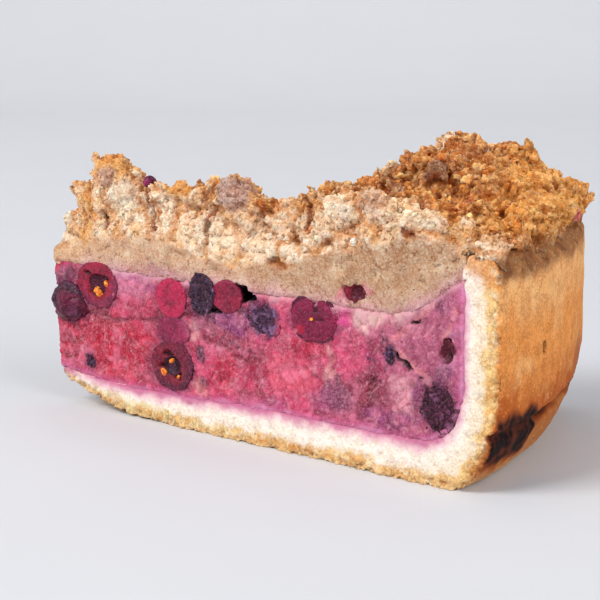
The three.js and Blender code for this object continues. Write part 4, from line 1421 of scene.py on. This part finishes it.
def joined_lumps(name, centres, sizes, shape, stretch, unevenness, seed, smooth=False):
    """One mesh of many small uneven lumps, and for each of its points the number of its lump."""
    lump_points, lump_faces = shape
    count = len(centres)
    random = np.random.default_rng(seed)
    turns = np.linalg.qr(random.normal(size=(count, 3, 3)))[0]
    lumps = lump_points[None] * (1 - unevenness * random.random((count, len(lump_points), 1)))
    lumps = lumps * (1 + stretch * (random.random((count, 1, 3)) - 0.5))
    points = np.einsum("nij,nkj->nki", turns, lumps * sizes[:, None, None] / 2) + centres[:, None]
    faces = np.tile(lump_faces, (count, 1, 1))
    flipped = np.linalg.det(turns) < 0
    faces[flipped] = faces[flipped][:, :, ::-1]
    faces = faces + (np.arange(count) * len(lump_points))[:, None, None]
    flat = faces.reshape(-1, 3)
    mesh = bpy.data.meshes.new(name)
    mesh.vertices.add(count * len(lump_points))
    mesh.vertices.foreach_set("co", (points * MM).ravel())
    mesh.loops.add(flat.size)
    mesh.loops.foreach_set("vertex_index", flat.ravel())
    mesh.polygons.add(len(flat))
    mesh.polygons.foreach_set("loop_start", np.arange(0, flat.size, 3))
    mesh.polygons.foreach_set("use_smooth", np.full(len(flat), smooth))
    mesh.update(calc_edges=True)
    item = bpy.data.objects.new(name, mesh)
    bpy.context.scene.collection.objects.link(item)
    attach(item, "root")
    return item, np.repeat(np.arange(count), len(lump_points))


# %% Scatter crumbs over the heap
def crumbs_on(name, chosen, count, smallest, largest, shape, seed):
    """Joins crumbs of mixed sizes onto chosen points of the heap."""
    random = np.random.default_rng(seed)
    spots = random.choice(np.flatnonzero(chosen), count, replace=False)
    sizes = smallest + (largest - smallest) * random.random(count) ** 2.5
    centres = heap.points[spots] - facing[spots] * (sizes * 0.05)[:, None]
    item, owner = joined_lumps(name, centres, sizes, shape, 0.6, 0.3, seed)
    colours = tones[spots] * (0.85 + 0.45 * random.random(count))[:, None]
    write_tint(item.data, "dough", colours[owner])
    layer = item.data.attributes.new("gap", "FLOAT", "POINT")
    layer.data.foreach_set("value", np.zeros(len(owner), np.float32))
    item.data.materials.append(crumble)
    print(name, "faces:", len(item.data.polygons))


facing = heap.normals()
where = Places(heap.points)
showing = (where.up > streusel_top(where.radius) + 2) & (facing[:, 2] > -0.3)
on_top = showing & (where.near_depth > 2.0)
on_cuts = showing & (where.near_depth <= 3.0) & (where.up > crumb_line(where.near_along) + 1)
crumbs_on("crumbs_on_top", on_top, 1300, 0.7, 2.2, ball(1), 501)
crumbs_on("dust_on_top", on_top, 2400, 0.5, 1.1, ball(0), 502)
crumbs_on("crumbs_on_cuts", on_cuts, 450, 0.7, 1.7, ball(1), 503)
crumbs_on("dust_on_cuts", on_cuts, 2600, 0.4, 1.0, ball(0), 504)

# %% [markdown]
# ## The berries
# The berries look like bilberries and currants. A halved one shows a thin dark skin, wet red flesh and an
# open middle with orange seeds. A mashed one is a rough blue-black smear. Each berry keeps the place
# and size of its plain solid, and its kind says how it is shaped and coloured. Chambers are given as
# across, up, half width and half height, and seeds as across, up and length; places inside a berry are
# shares of its half size.

# %% What each berry is like
OPEN_CHAMBERS = [(-0.3, 0.4, 0.26, 0.2), (0.25, 0.2, 0.3, 0.26), (0.0, -0.3, 0.34, 0.28)]
OPEN_SEEDS = [(0.3, 0.12, 1.2), (-0.1, -0.3, 1.5), (0.12, -0.42, 1.2)]
BERRY_LOOKS = {
    "berry_halved_by_point": dict(
        kind="open", skin=light(70, 10, 36), flesh=light(152, 20, 50), ring=light(112, 40, 68),
        chambers=[(-0.43, 0.43, 0.2, 0.13), (0.34, 0.26, 0.27, 0.2), (-0.06, -0.32, 0.38, 0.24)],
        seeds=[(-0.07, -0.26, 2.0), (0.08, -0.42, 1.5), (0.24, -0.44, 0.8), (0.49, 0.08, 1.4)],
    ),
    "berry_seedy_half": dict(
        kind="open", skin=light(36, 12, 30), flesh=light(108, 10, 38), ring=light(70, 20, 44),
        chambers=[(-0.43, -0.07, 0.22, 0.15), (-0.2, 0.45, 0.3, 0.15), (0.2, -0.3, 0.24, 0.3)],
        seeds=[(-0.02, 0.22, 1.6), (-0.4, -0.34, 2.1), (0.3, -0.42, 0.7)],
    ),
    "berry_in_point": dict(kind="whole", skin=light(44, 6, 34), flesh=light(92, 8, 42), grow=1.14),
    "berry_red_half": dict(kind="flesh", skin=light(120, 14, 50), flesh=light(174, 28, 68)),
    "berry_dark_skin": dict(kind="skin", skin=light(18, 12, 28), flesh=light(58, 48, 76), grow=1.04),
    "berry_wine_half": dict(kind="flesh", skin=light(70, 6, 28), flesh=light(134, 20, 50)),
    "berry_faded_half": dict(kind="flesh", skin=light(128, 26, 72), flesh=light(146, 26, 72), fade=0.85),
    "berry_crushed": dict(kind="shreds", skin=light(40, 22, 50), flesh=light(66, 40, 80), grow=1.1),
    "berry_heart_half": dict(kind="heart", skin=light(80, 8, 40), flesh=light(120, 14, 54)),
    "berry_sunk_top": dict(kind="sunk", skin=light(136, 16, 36), flesh=light(104, 8, 22)),
    "berry_sunk_wall": dict(kind="sunk", skin=light(110, 12, 36), flesh=light(78, 4, 18)),
    "berry_split_small": dict(kind="mash", skin=light(62, 36, 70), flesh=light(62, 44, 80), grow=0.7),
    "berry_crushed_corner": dict(kind="mash", skin=light(52, 18, 42), flesh=light(70, 22, 50)),
    "berry_small_point": dict(kind="mash", skin=light(70, 44, 76), flesh=light(66, 48, 80), grow=0.8),
    "berry_on_crumble": dict(
        kind="whole", skin=light(84, 16, 54), flesh=light(136, 24, 80), grow=0.5, sink=1.0,
    ),
    "berry_back_wine": dict(kind="flesh", skin=light(90, 10, 34), flesh=light(118, 14, 38)),
    "berry_back_dark": dict(kind="skin", skin=light(32, 26, 44), flesh=light(98, 92, 120)),
    "berry_back_seedy": dict(kind="open", skin=light(44, 26, 46), flesh=light(112, 14, 42)),
    "berry_back_red": dict(kind="flesh", skin=light(120, 18, 52), flesh=light(190, 36, 78)),
    "berry_back_heart": dict(kind="heart", skin=light(84, 8, 40), flesh=light(136, 26, 66)),
    "berry_back_crushed": dict(kind="shreds", skin=light(60, 44, 76), flesh=light(96, 70, 110)),
    "berry_back_faded": dict(kind="flesh", skin=light(128, 26, 72), flesh=light(156, 36, 80), fade=0.75),
    "berry_back_corner": dict(kind="open", skin=light(48, 24, 46), flesh=light(108, 14, 42)),
}

# %% Berry material
fruit, tree, shader = new_material("Berry", specular=0.22, glow=0.04)
marble = use_group(tree, "Marbling", Size=1.5)
film = use_group(tree, "Wet film", Size=0.9, Wet=0.14, Dry=0.5)
tone = tree.tint("fruit")
deep = tree.mixed(1.0, tone, light(158, 110, 124), "MULTIPLY")
tone = tree.mixed(tree.part(marble["Mottles"], 0.7), tone, deep)
pale = tree.mixed(0.32, tone, light(220, 124, 160))
tone = tree.mixed(tree.part(marble["Threads"], 0.5), tone, pale)
speckle = tree.rise(tree.noise(0.45, detail=2, roughness=0.6), 0.52, 0.66)
tone = tree.mixed(tree.part(speckle, 0.5), tone, pale)
tree.feed(shader.inputs["Base Color"], tone)
tree.feed(shader.inputs["Roughness"], film["Roughness"])
add_bump(tree, shader, tree.maths("ADD", film["Height"], marble["Height"]), 0.13, 0.8)


# %% Shape one berry
SMALL_BERRY = 3.5


def shape_berry(berry, look):
    """The fine copy of a berry with an uneven outline, and how its points lie in the berry."""
    face_size = FACE_SIZES["berry" if berry.half.max() > SMALL_BERRY else "small berry"]
    piece = Fine("fruit_" + berry.node.replace("berry_", ""), berry.node, face_size)
    piece.points = piece.relaxed(3)
    where = Places(piece.points)
    across, rise = berry.offsets(where)
    seed = 600 + int(berry.middle[0] * 3)
    around = np.stack([across, rise, 0 * across], 1) / np.maximum(np.hypot(across, rise), 0.2)[:, None]
    piece.points[:, 2] -= look.get("sink", 0)
    lobes = 0.07 * swell(around, 0.8, seed) + 0.035 * swell(around, 0.33, seed + 1)
    if look["kind"] in ("mash", "shreds", "sunk"):
        lobes = 2 * lobes
    grown = look.get("grow", 1.0) - 1 + lobes + (0 if look["kind"] == "whole" else 0.5 / berry.half.min())
    piece.push(across * berry.half[0] * grown, berry.aside)
    piece.push(rise * berry.half[1] * grown, np.array([0, 0, 1]))
    depth = Places(piece.points).depth[berry.cut] - berry.face
    if look["kind"] != "whole":
        piece.push(depth * ease(depth, 1.0, 0.35), outward(berry.cut))
        is_face = ease(depth, 1.0, 0.45)
        at_rim = ease(np.hypot(across, rise), 0.66, 1.02)
        is_torn = look["kind"] in ("mash", "shreds")
        waver = rough(piece.points, 1.4, seed + 9, 2)
        ragged = 0.12 + at_rim * (0.4 * waver - 0.3) if is_torn else 0.26 + at_rim * (0.12 * waver - 0.1)
        sunk = 0.8 if look["kind"] == "sunk" else 0.0
        piece.push(is_face * (berry.face + cut_relief(piece.points) + ragged - sunk), outward(berry.cut))
    else:
        is_face = np.zeros(len(depth))
    return piece, across, rise, is_face, seed


def torn_flesh(points, colours, seed):
    """Flesh that the knife tore: darker and lighter in small patches and grains."""
    colours = colours * (1 + 0.3 * np.clip(rough(points, 0.9, seed + 6, 2), -1, 1.5))[:, None]
    patches = ease(rough(stirred(points, 1, 2, seed), 2.2, seed + 4), 0.0, 0.8)
    return blend(colours, colours * 0.42, 0.75 * patches)


# %% [markdown]
# ### The finish of each kind
# Each kind of berry has its own function. They all take the same values, although a few leave some of
# them unused, so that one loop can finish every berry.

# %% Finish each kind
def finish_open(piece, berry, look, across, rise, is_face, colours, seed):
    """A berry cut open: skin, flesh and wet chambers."""
    fine = rough(piece.points, 1.5, seed + 2)
    rim, turn = np.hypot(across, rise), np.arctan2(rise, across)
    flesh = torn_flesh(piece.points, plain(look["flesh"], len(rim)), seed)
    ring = ease(rim + 0.08 * fine, 0.62, 0.8) * ease(rise - 0.6 * across, 0.5, -0.3)
    flesh = blend(flesh, look.get("ring", light(120, 60, 88)), 0.8 * ring)
    rays = 0.3 * ease(np.sin(turn * 13 + 4 * fine), 0.2, 1) * ease(rim, 0.3, 0.7)
    flesh = blend(flesh, look["flesh"] * 1.6, rays)
    colours = blend(colours, flesh, is_face * ease(rim + 0.05 * fine, 1.0, 0.92))
    piece.push(is_face * (0.15 * fine - 0.3 * ease(rim, 0.75, 0.3)), outward(berry.cut))
    for cx, cy, half_width, half_height in look.get("chambers", OPEN_CHAMBERS):
        away = np.hypot((across - cx) / half_width, (rise - cy) / half_height) + 0.2 * fine
        colours = blend(colours, light(128, 4, 28), 0.8 * is_face * ease(away, 1.6, 1.1))
        hollow = is_face * ease(away, 0.95, 0.55)
        piece.push(-1.0 * hollow * min(berry.half) / 5.5, outward(berry.cut))
        colours = blend(colours, light(84, 2, 18), 0.9 * hollow)
        # Painted shade: each chamber goes black deepest in its hollow.
        colours = blend(colours, PALETTE["night"], 0.85 * is_face * ease(away, 0.7, 0.25))
    return colours


def finish_flesh(piece, berry, look, across, rise, is_face, colours, seed):
    """A berry halved without a hollow: fine fibres from the middle, and a lighter ring inside the skin."""
    fine = rough(piece.points, 1.4, seed + 2)
    rim, turn = np.hypot(across, rise), np.arctan2(rise, across)
    flesh = torn_flesh(piece.points, plain(look["flesh"], len(rim)), seed)
    fibres = 0.4 * ease(np.sin(turn * 17 + 5 * fine), 0, 1) * ease(rim, 0.15, 0.6)
    flesh = blend(flesh, look["flesh"] * 1.5, fibres)
    ring = 0.4 * ease(rim, 0.7, 0.82) * ease(rim, 0.96, 0.88)
    flesh = blend(flesh, look["flesh"] * 1.4 + light(50, 16, 30), ring)
    colours = blend(colours, flesh, is_face * ease(rim + 0.05 * fine, 1.0, 0.93))
    piece.push(is_face * (0.15 * fine - 0.15 * ease(rim, 0.85, 0.98)), outward(berry.cut))
    if "fade" in look:
        share = look["fade"] * ease(rim + 0.5 * fine, 0.1, 0.8)
        colours = blend(colours, filling_colour(piece.points)[0], share)
    return colours


def finish_heart(piece, berry, look, across, rise, is_face, colours, seed):
    """Two lobes with a notch above and dark rays from one seed."""
    colours = finish_flesh(piece, berry, look, across, rise, is_face, colours, seed)
    fold = ease(np.abs(across - 0.06), 0.12, 0.02) * ease(rise, 0.15, 0.5)
    ray = ease(np.abs(rise - 0.05 * across - 0.04), 0.09, 0.02)
    ray = ray * ease(across, 0.0, 0.1) * ease(across, 0.5, 0.3)
    piece.push(-0.7 * fold * is_face - 0.4 * ray * is_face, outward(berry.cut))
    bright = ease(np.hypot(across + 0.55, rise + 0.5), 0.3, 0.1)
    colours = blend(colours, light(196, 24, 52), 0.7 * is_face * bright)
    # The rays are dark lines of the fruit; the notch is painted black as shade in the fold.
    return blend(colours, PALETTE["night"], 0.8 * np.maximum(fold, ray) * is_face)


def finish_skin(piece, berry, look, across, rise, is_face, colours, seed):
    """A burst berry that shows its crumpled outside."""
    folds = 1 - np.abs(rough(stirred(piece.points, 0.8, 2, seed), 1.9, seed + 2, 2))
    piece.push(is_face * (0.6 * ease(folds, 0.5, 1) - 0.1), outward(berry.cut))
    colours = blend(colours, look["flesh"], 0.75 * ease(folds, 0.72, 0.98))
    shreds = ease(across, 0.2, 0.7) * ease(swell(piece.points, 1.2, seed + 5), 0.3, 0.7)
    return blend(colours, light(196, 150, 196), 0.7 * shreds * is_face)


def finish_shreds(piece, berry, look, across, rise, is_face, colours, seed):
    """A crushed berry: dark clots and blue-grey shreds that end in the filling."""
    rim = np.hypot(across, rise)
    torn = stirred(piece.points, 1.3, 2.5, seed)
    clots = ease(rough(torn, 2.6, seed + 5), -0.15, 0.35)
    shreds = ease(np.abs(rough(torn, 1.9, seed + 2, 2)), 0.2, 0.03)
    piece.push(is_face * (0.35 * shreds - 0.4 * clots), outward(berry.cut))
    colours = blend(plain(look["flesh"], len(rim)), look["skin"] * 0.4, 0.85 * clots)
    colours = blend(colours, light(178, 140, 184), 0.45 * shreds)
    edge = ease(rim + 0.35 * rough(piece.points, 1.8, seed + 8), 0.65, 1.0)
    return blend(colours, filling_colour(piece.points)[0], edge)


def finish_mash(piece, berry, look, across, rise, is_face, colours, seed):
    """A dark, rough mash of skin and juice."""
    clots = Blocks(stirred(piece.points, 0.4, 1.5, seed), 1.1, seed + 2)
    relief = 0.5 * clots.face - 0.35 * clots.crack + 0.2 * (clots.number - 0.5)
    piece.push(is_face * relief, outward(berry.cut))
    colours = blend(plain(look["flesh"], len(rise)), PALETTE["night"], 0.85 * ease(clots.number, 0.6, 0.2))
    # Painted shade in the cracks between clots.
    colours = blend(colours, PALETTE["night"], 0.7 * clots.crack)
    light_bits = ease(clots.number, 0.82, 0.95)
    colours = blend(colours, light(128, 76, 116), 0.5 * light_bits)
    edge = ease(np.hypot(across, rise) + 0.3 * rough(piece.points, 1.6, seed + 4), 0.75, 1.1)
    return blend(colours, filling_colour(piece.points)[0] * 0.6, edge)


def finish_sunk(piece, berry, look, across, rise, is_face, colours, seed):
    """A small berry that sank back into its hole: only dark wet red shows."""
    fine = rough(piece.points, 1.6, seed + 2)
    rim = np.hypot(across, rise)
    piece.push(is_face * (0.5 * fine - 0.8 * ease(rim, 0.9, 0.2)), outward(berry.cut))
    colours = plain(look["flesh"], len(rim))
    colours = blend(colours, look["skin"], ease(across - 0.4 * rise + 0.5 * fine, 0.0, -0.5))
    # Painted shade: the middle, pushed deepest, goes black.
    return blend(colours, PALETTE["night"], 0.6 * ease(rim + 0.5 * fine - 0.3 * across, 0.8, 0.3))


def finish_whole(piece, berry, look, across, rise, is_face, colours, seed):
    """A whole, slightly wrinkled berry with a dull bloom."""
    dents = np.abs(rough(stirred(piece.points, 1, 3, seed), 3.2, seed + 2, 2))
    piece.push(-0.35 * ease(dents, 0.15, 0.0) + 0.2 * rough(piece.points, 3, seed + 3))
    colours = blend(colours, look["flesh"], ease(rough(piece.points, 4, seed + 5) - 0.5 * rise, -0.4, 0.5))
    # Painted shade in the dents.
    colours = blend(colours, PALETTE["night"], 0.5 * ease(dents, 0.12, 0.0))
    return blend(colours, light(124, 72, 112), 0.2 * ease(rough(piece.points, 3, seed + 9), 0.3, 0.8))


FINISHES = {
    "open": finish_open,
    "flesh": finish_flesh,
    "heart": finish_heart,
    "skin": finish_skin,
    "shreds": finish_shreds,
    "mash": finish_mash,
    "sunk": finish_sunk,
    "whole": finish_whole,
}

# %% Make all berries, and note where their seeds lie
seed_centres, seed_sizes = [], []
for node, berry in berries.items():
    look = BERRY_LOOKS[node]
    piece, across, rise, is_face, seed = shape_berry(berry, look)
    colours = plain(look["skin"], len(across))
    colours = FINISHES[look["kind"]](piece, berry, look, across, rise, is_face, colours, seed)
    piece.store()
    piece.tint("fruit", colours)
    piece.item.data.materials.append(fruit)
    kernels = look.get("seeds", OPEN_SEEDS) if look["kind"] == "open" else []
    kernels = [(-0.05, 0.06, 1.1)] if look["kind"] == "heart" else kernels
    for seed_across, seed_rise, length in kernels:
        along = berry.middle[0] + berry.half[0] * seed_across
        depth = berry.face + (0.7 if look["kind"] == "open" else 0.0)
        x = along * math.cos(HALF_ANGLE) + depth * math.sin(HALF_ANGLE)
        y = berry.cut * (along * math.sin(HALF_ANGLE) - depth * math.cos(HALF_ANGLE))
        seed_centres.append((PIE_CENTRE_X + x, y, berry.middle[1] + berry.half[1] * seed_rise))
        seed_sizes.append(length * min(berry.half) / 5.2)
print("seeds:", len(seed_centres))

# %% Seeds
centres, sizes = np.array(seed_centres), np.array(seed_sizes)
seeds, _ = joined_lumps("berry_seeds", centres, sizes, ball(2), 0.9, 0.06, 701, smooth=True)
kernel, tree, shader = new_material("Berry seed", roughness=0.35, specular=0.4)
seed_tone = tree.mixed(tree.rise(tree.noise(0.6), 0.42, 0.58), light(218, 88, 14), light(250, 168, 52))
tree.feed(shader.inputs["Base Color"], seed_tone)
seeds.data.materials.append(kernel)

# %% [markdown]
# ## Table and light
# A pale, seamless table runs up into the background, as in a food studio. One broad light comes from the
# upper left, a second fills from the right, and a bright surrounding keeps every shadow soft.

# %% Seamless table
TABLE_NEAR, TABLE_FAR, TABLE_TOP, TABLE_HALF_WIDTH = -1.6, 0.9, 2.6, 3.0
CURVE, CURVE_STEPS = 0.5, 12
TURN_TO_CAMERA = 20.66
profile = [(TABLE_NEAR, 0.0), (TABLE_FAR, 0.0)]
for step in range(1, CURVE_STEPS + 1):
    turn = math.pi / 2 * step / CURVE_STEPS
    profile.append((TABLE_FAR + CURVE * math.sin(turn), CURVE - CURVE * math.cos(turn)))
profile.append((TABLE_FAR + CURVE, TABLE_TOP))
facing_camera = math.radians(TURN_TO_CAMERA)
ahead = (-math.sin(facing_camera), math.cos(facing_camera))
aside = (math.cos(facing_camera), math.sin(facing_camera))
table_points, table_faces = [], []
for row, (far, high) in enumerate(profile):
    for side in (-TABLE_HALF_WIDTH, TABLE_HALF_WIDTH):
        table_points.append((ahead[0] * far + aside[0] * side, ahead[1] * far + aside[1] * side, high))
    if row:
        table_faces.append((2 * row - 2, 2 * row - 1, 2 * row + 1, 2 * row))
table_mesh = bpy.data.meshes.new("studio_table")
table_mesh.from_pydata(table_points, [], table_faces)
table_mesh.shade_smooth()
table = bpy.data.objects.new("studio_table", table_mesh)
bpy.context.scene.collection.objects.link(table)
paper, tree, shader = new_material("Studio paper", roughness=0.8, specular=0.1)
tree.feed(shader.inputs["Base Color"], tree.mixed(tree.noise(60), light(206, 207, 211), light(210, 211, 214)))
table_mesh.materials.append(paper)
table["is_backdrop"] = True


# %% Lights
def add_light(name, place, target, size, power, spread=180):
    """A square soft light that points at a target. Places are in metres, the spread in degrees."""
    lamp = bpy.data.lights.new(name, "AREA")
    lamp.size = size
    lamp.energy = power
    lamp.spread = math.radians(spread)
    item = bpy.data.objects.new(name, lamp)
    item.location = place
    item.rotation_euler = (Vector(target) - Vector(place)).to_track_quat("-Z", "Y").to_euler()
    bpy.context.scene.collection.objects.link(item)


add_light("key_light", (-0.7, -0.85, 1.1), (0, 0, 0.03), 0.7, 18.5)
add_light("side_fill", (1.2, -0.5, 0.7), (0, 0, 0.03), 1.0, 10.5)
add_light("background_light", (-0.2, 1.0, 1.5), (-0.38, 1.25, 0.05), 1.2, 2.9, spread=100)
world = bpy.data.worlds.new("soft surroundings")
world.use_nodes = True
world.node_tree.nodes["Background"].inputs["Color"].default_value = (*light(236, 238, 242), 1)
world.node_tree.nodes["Background"].inputs["Strength"].default_value = 0.55
bpy.context.scene.world = world
bpy.context.scene.view_settings.view_transform = "Standard"

# %% [markdown]
# ## Camera
# A long lens, low and a little to the right, so that the front cut and part of the rim show.

# %% Camera
CAMERA_PLACE = (0.12942, -0.34370, 0.10412)
CAMERA_TARGET = (0.00319, -0.00898, 0.03192)
camera = bpy.data.cameras.new("camera")
camera.lens = 96
camera.sensor_width = 36
camera_item = bpy.data.objects.new("camera", camera)
camera_item.location = CAMERA_PLACE
gaze = Vector(CAMERA_TARGET) - Vector(CAMERA_PLACE)
camera_item.rotation_euler = gaze.to_track_quat("-Z", "Y").to_euler()
bpy.context.scene.collection.objects.link(camera_item)
bpy.context.scene.camera = camera_item

# %% [markdown]
# ## Finish
# The dressed slice has to stay about as large as its plain solids, so both boxes are kept side by side.

# %% Sizes and the last line
visual_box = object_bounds()
sizes = {
    "cad": [[float(value) for value in corner] for corner in cad_box],
    "visual": [[float(value) for value in corner] for corner in visual_box],
}
print("plain box:", sizes["cad"])
print("dressed box:", sizes["visual"])
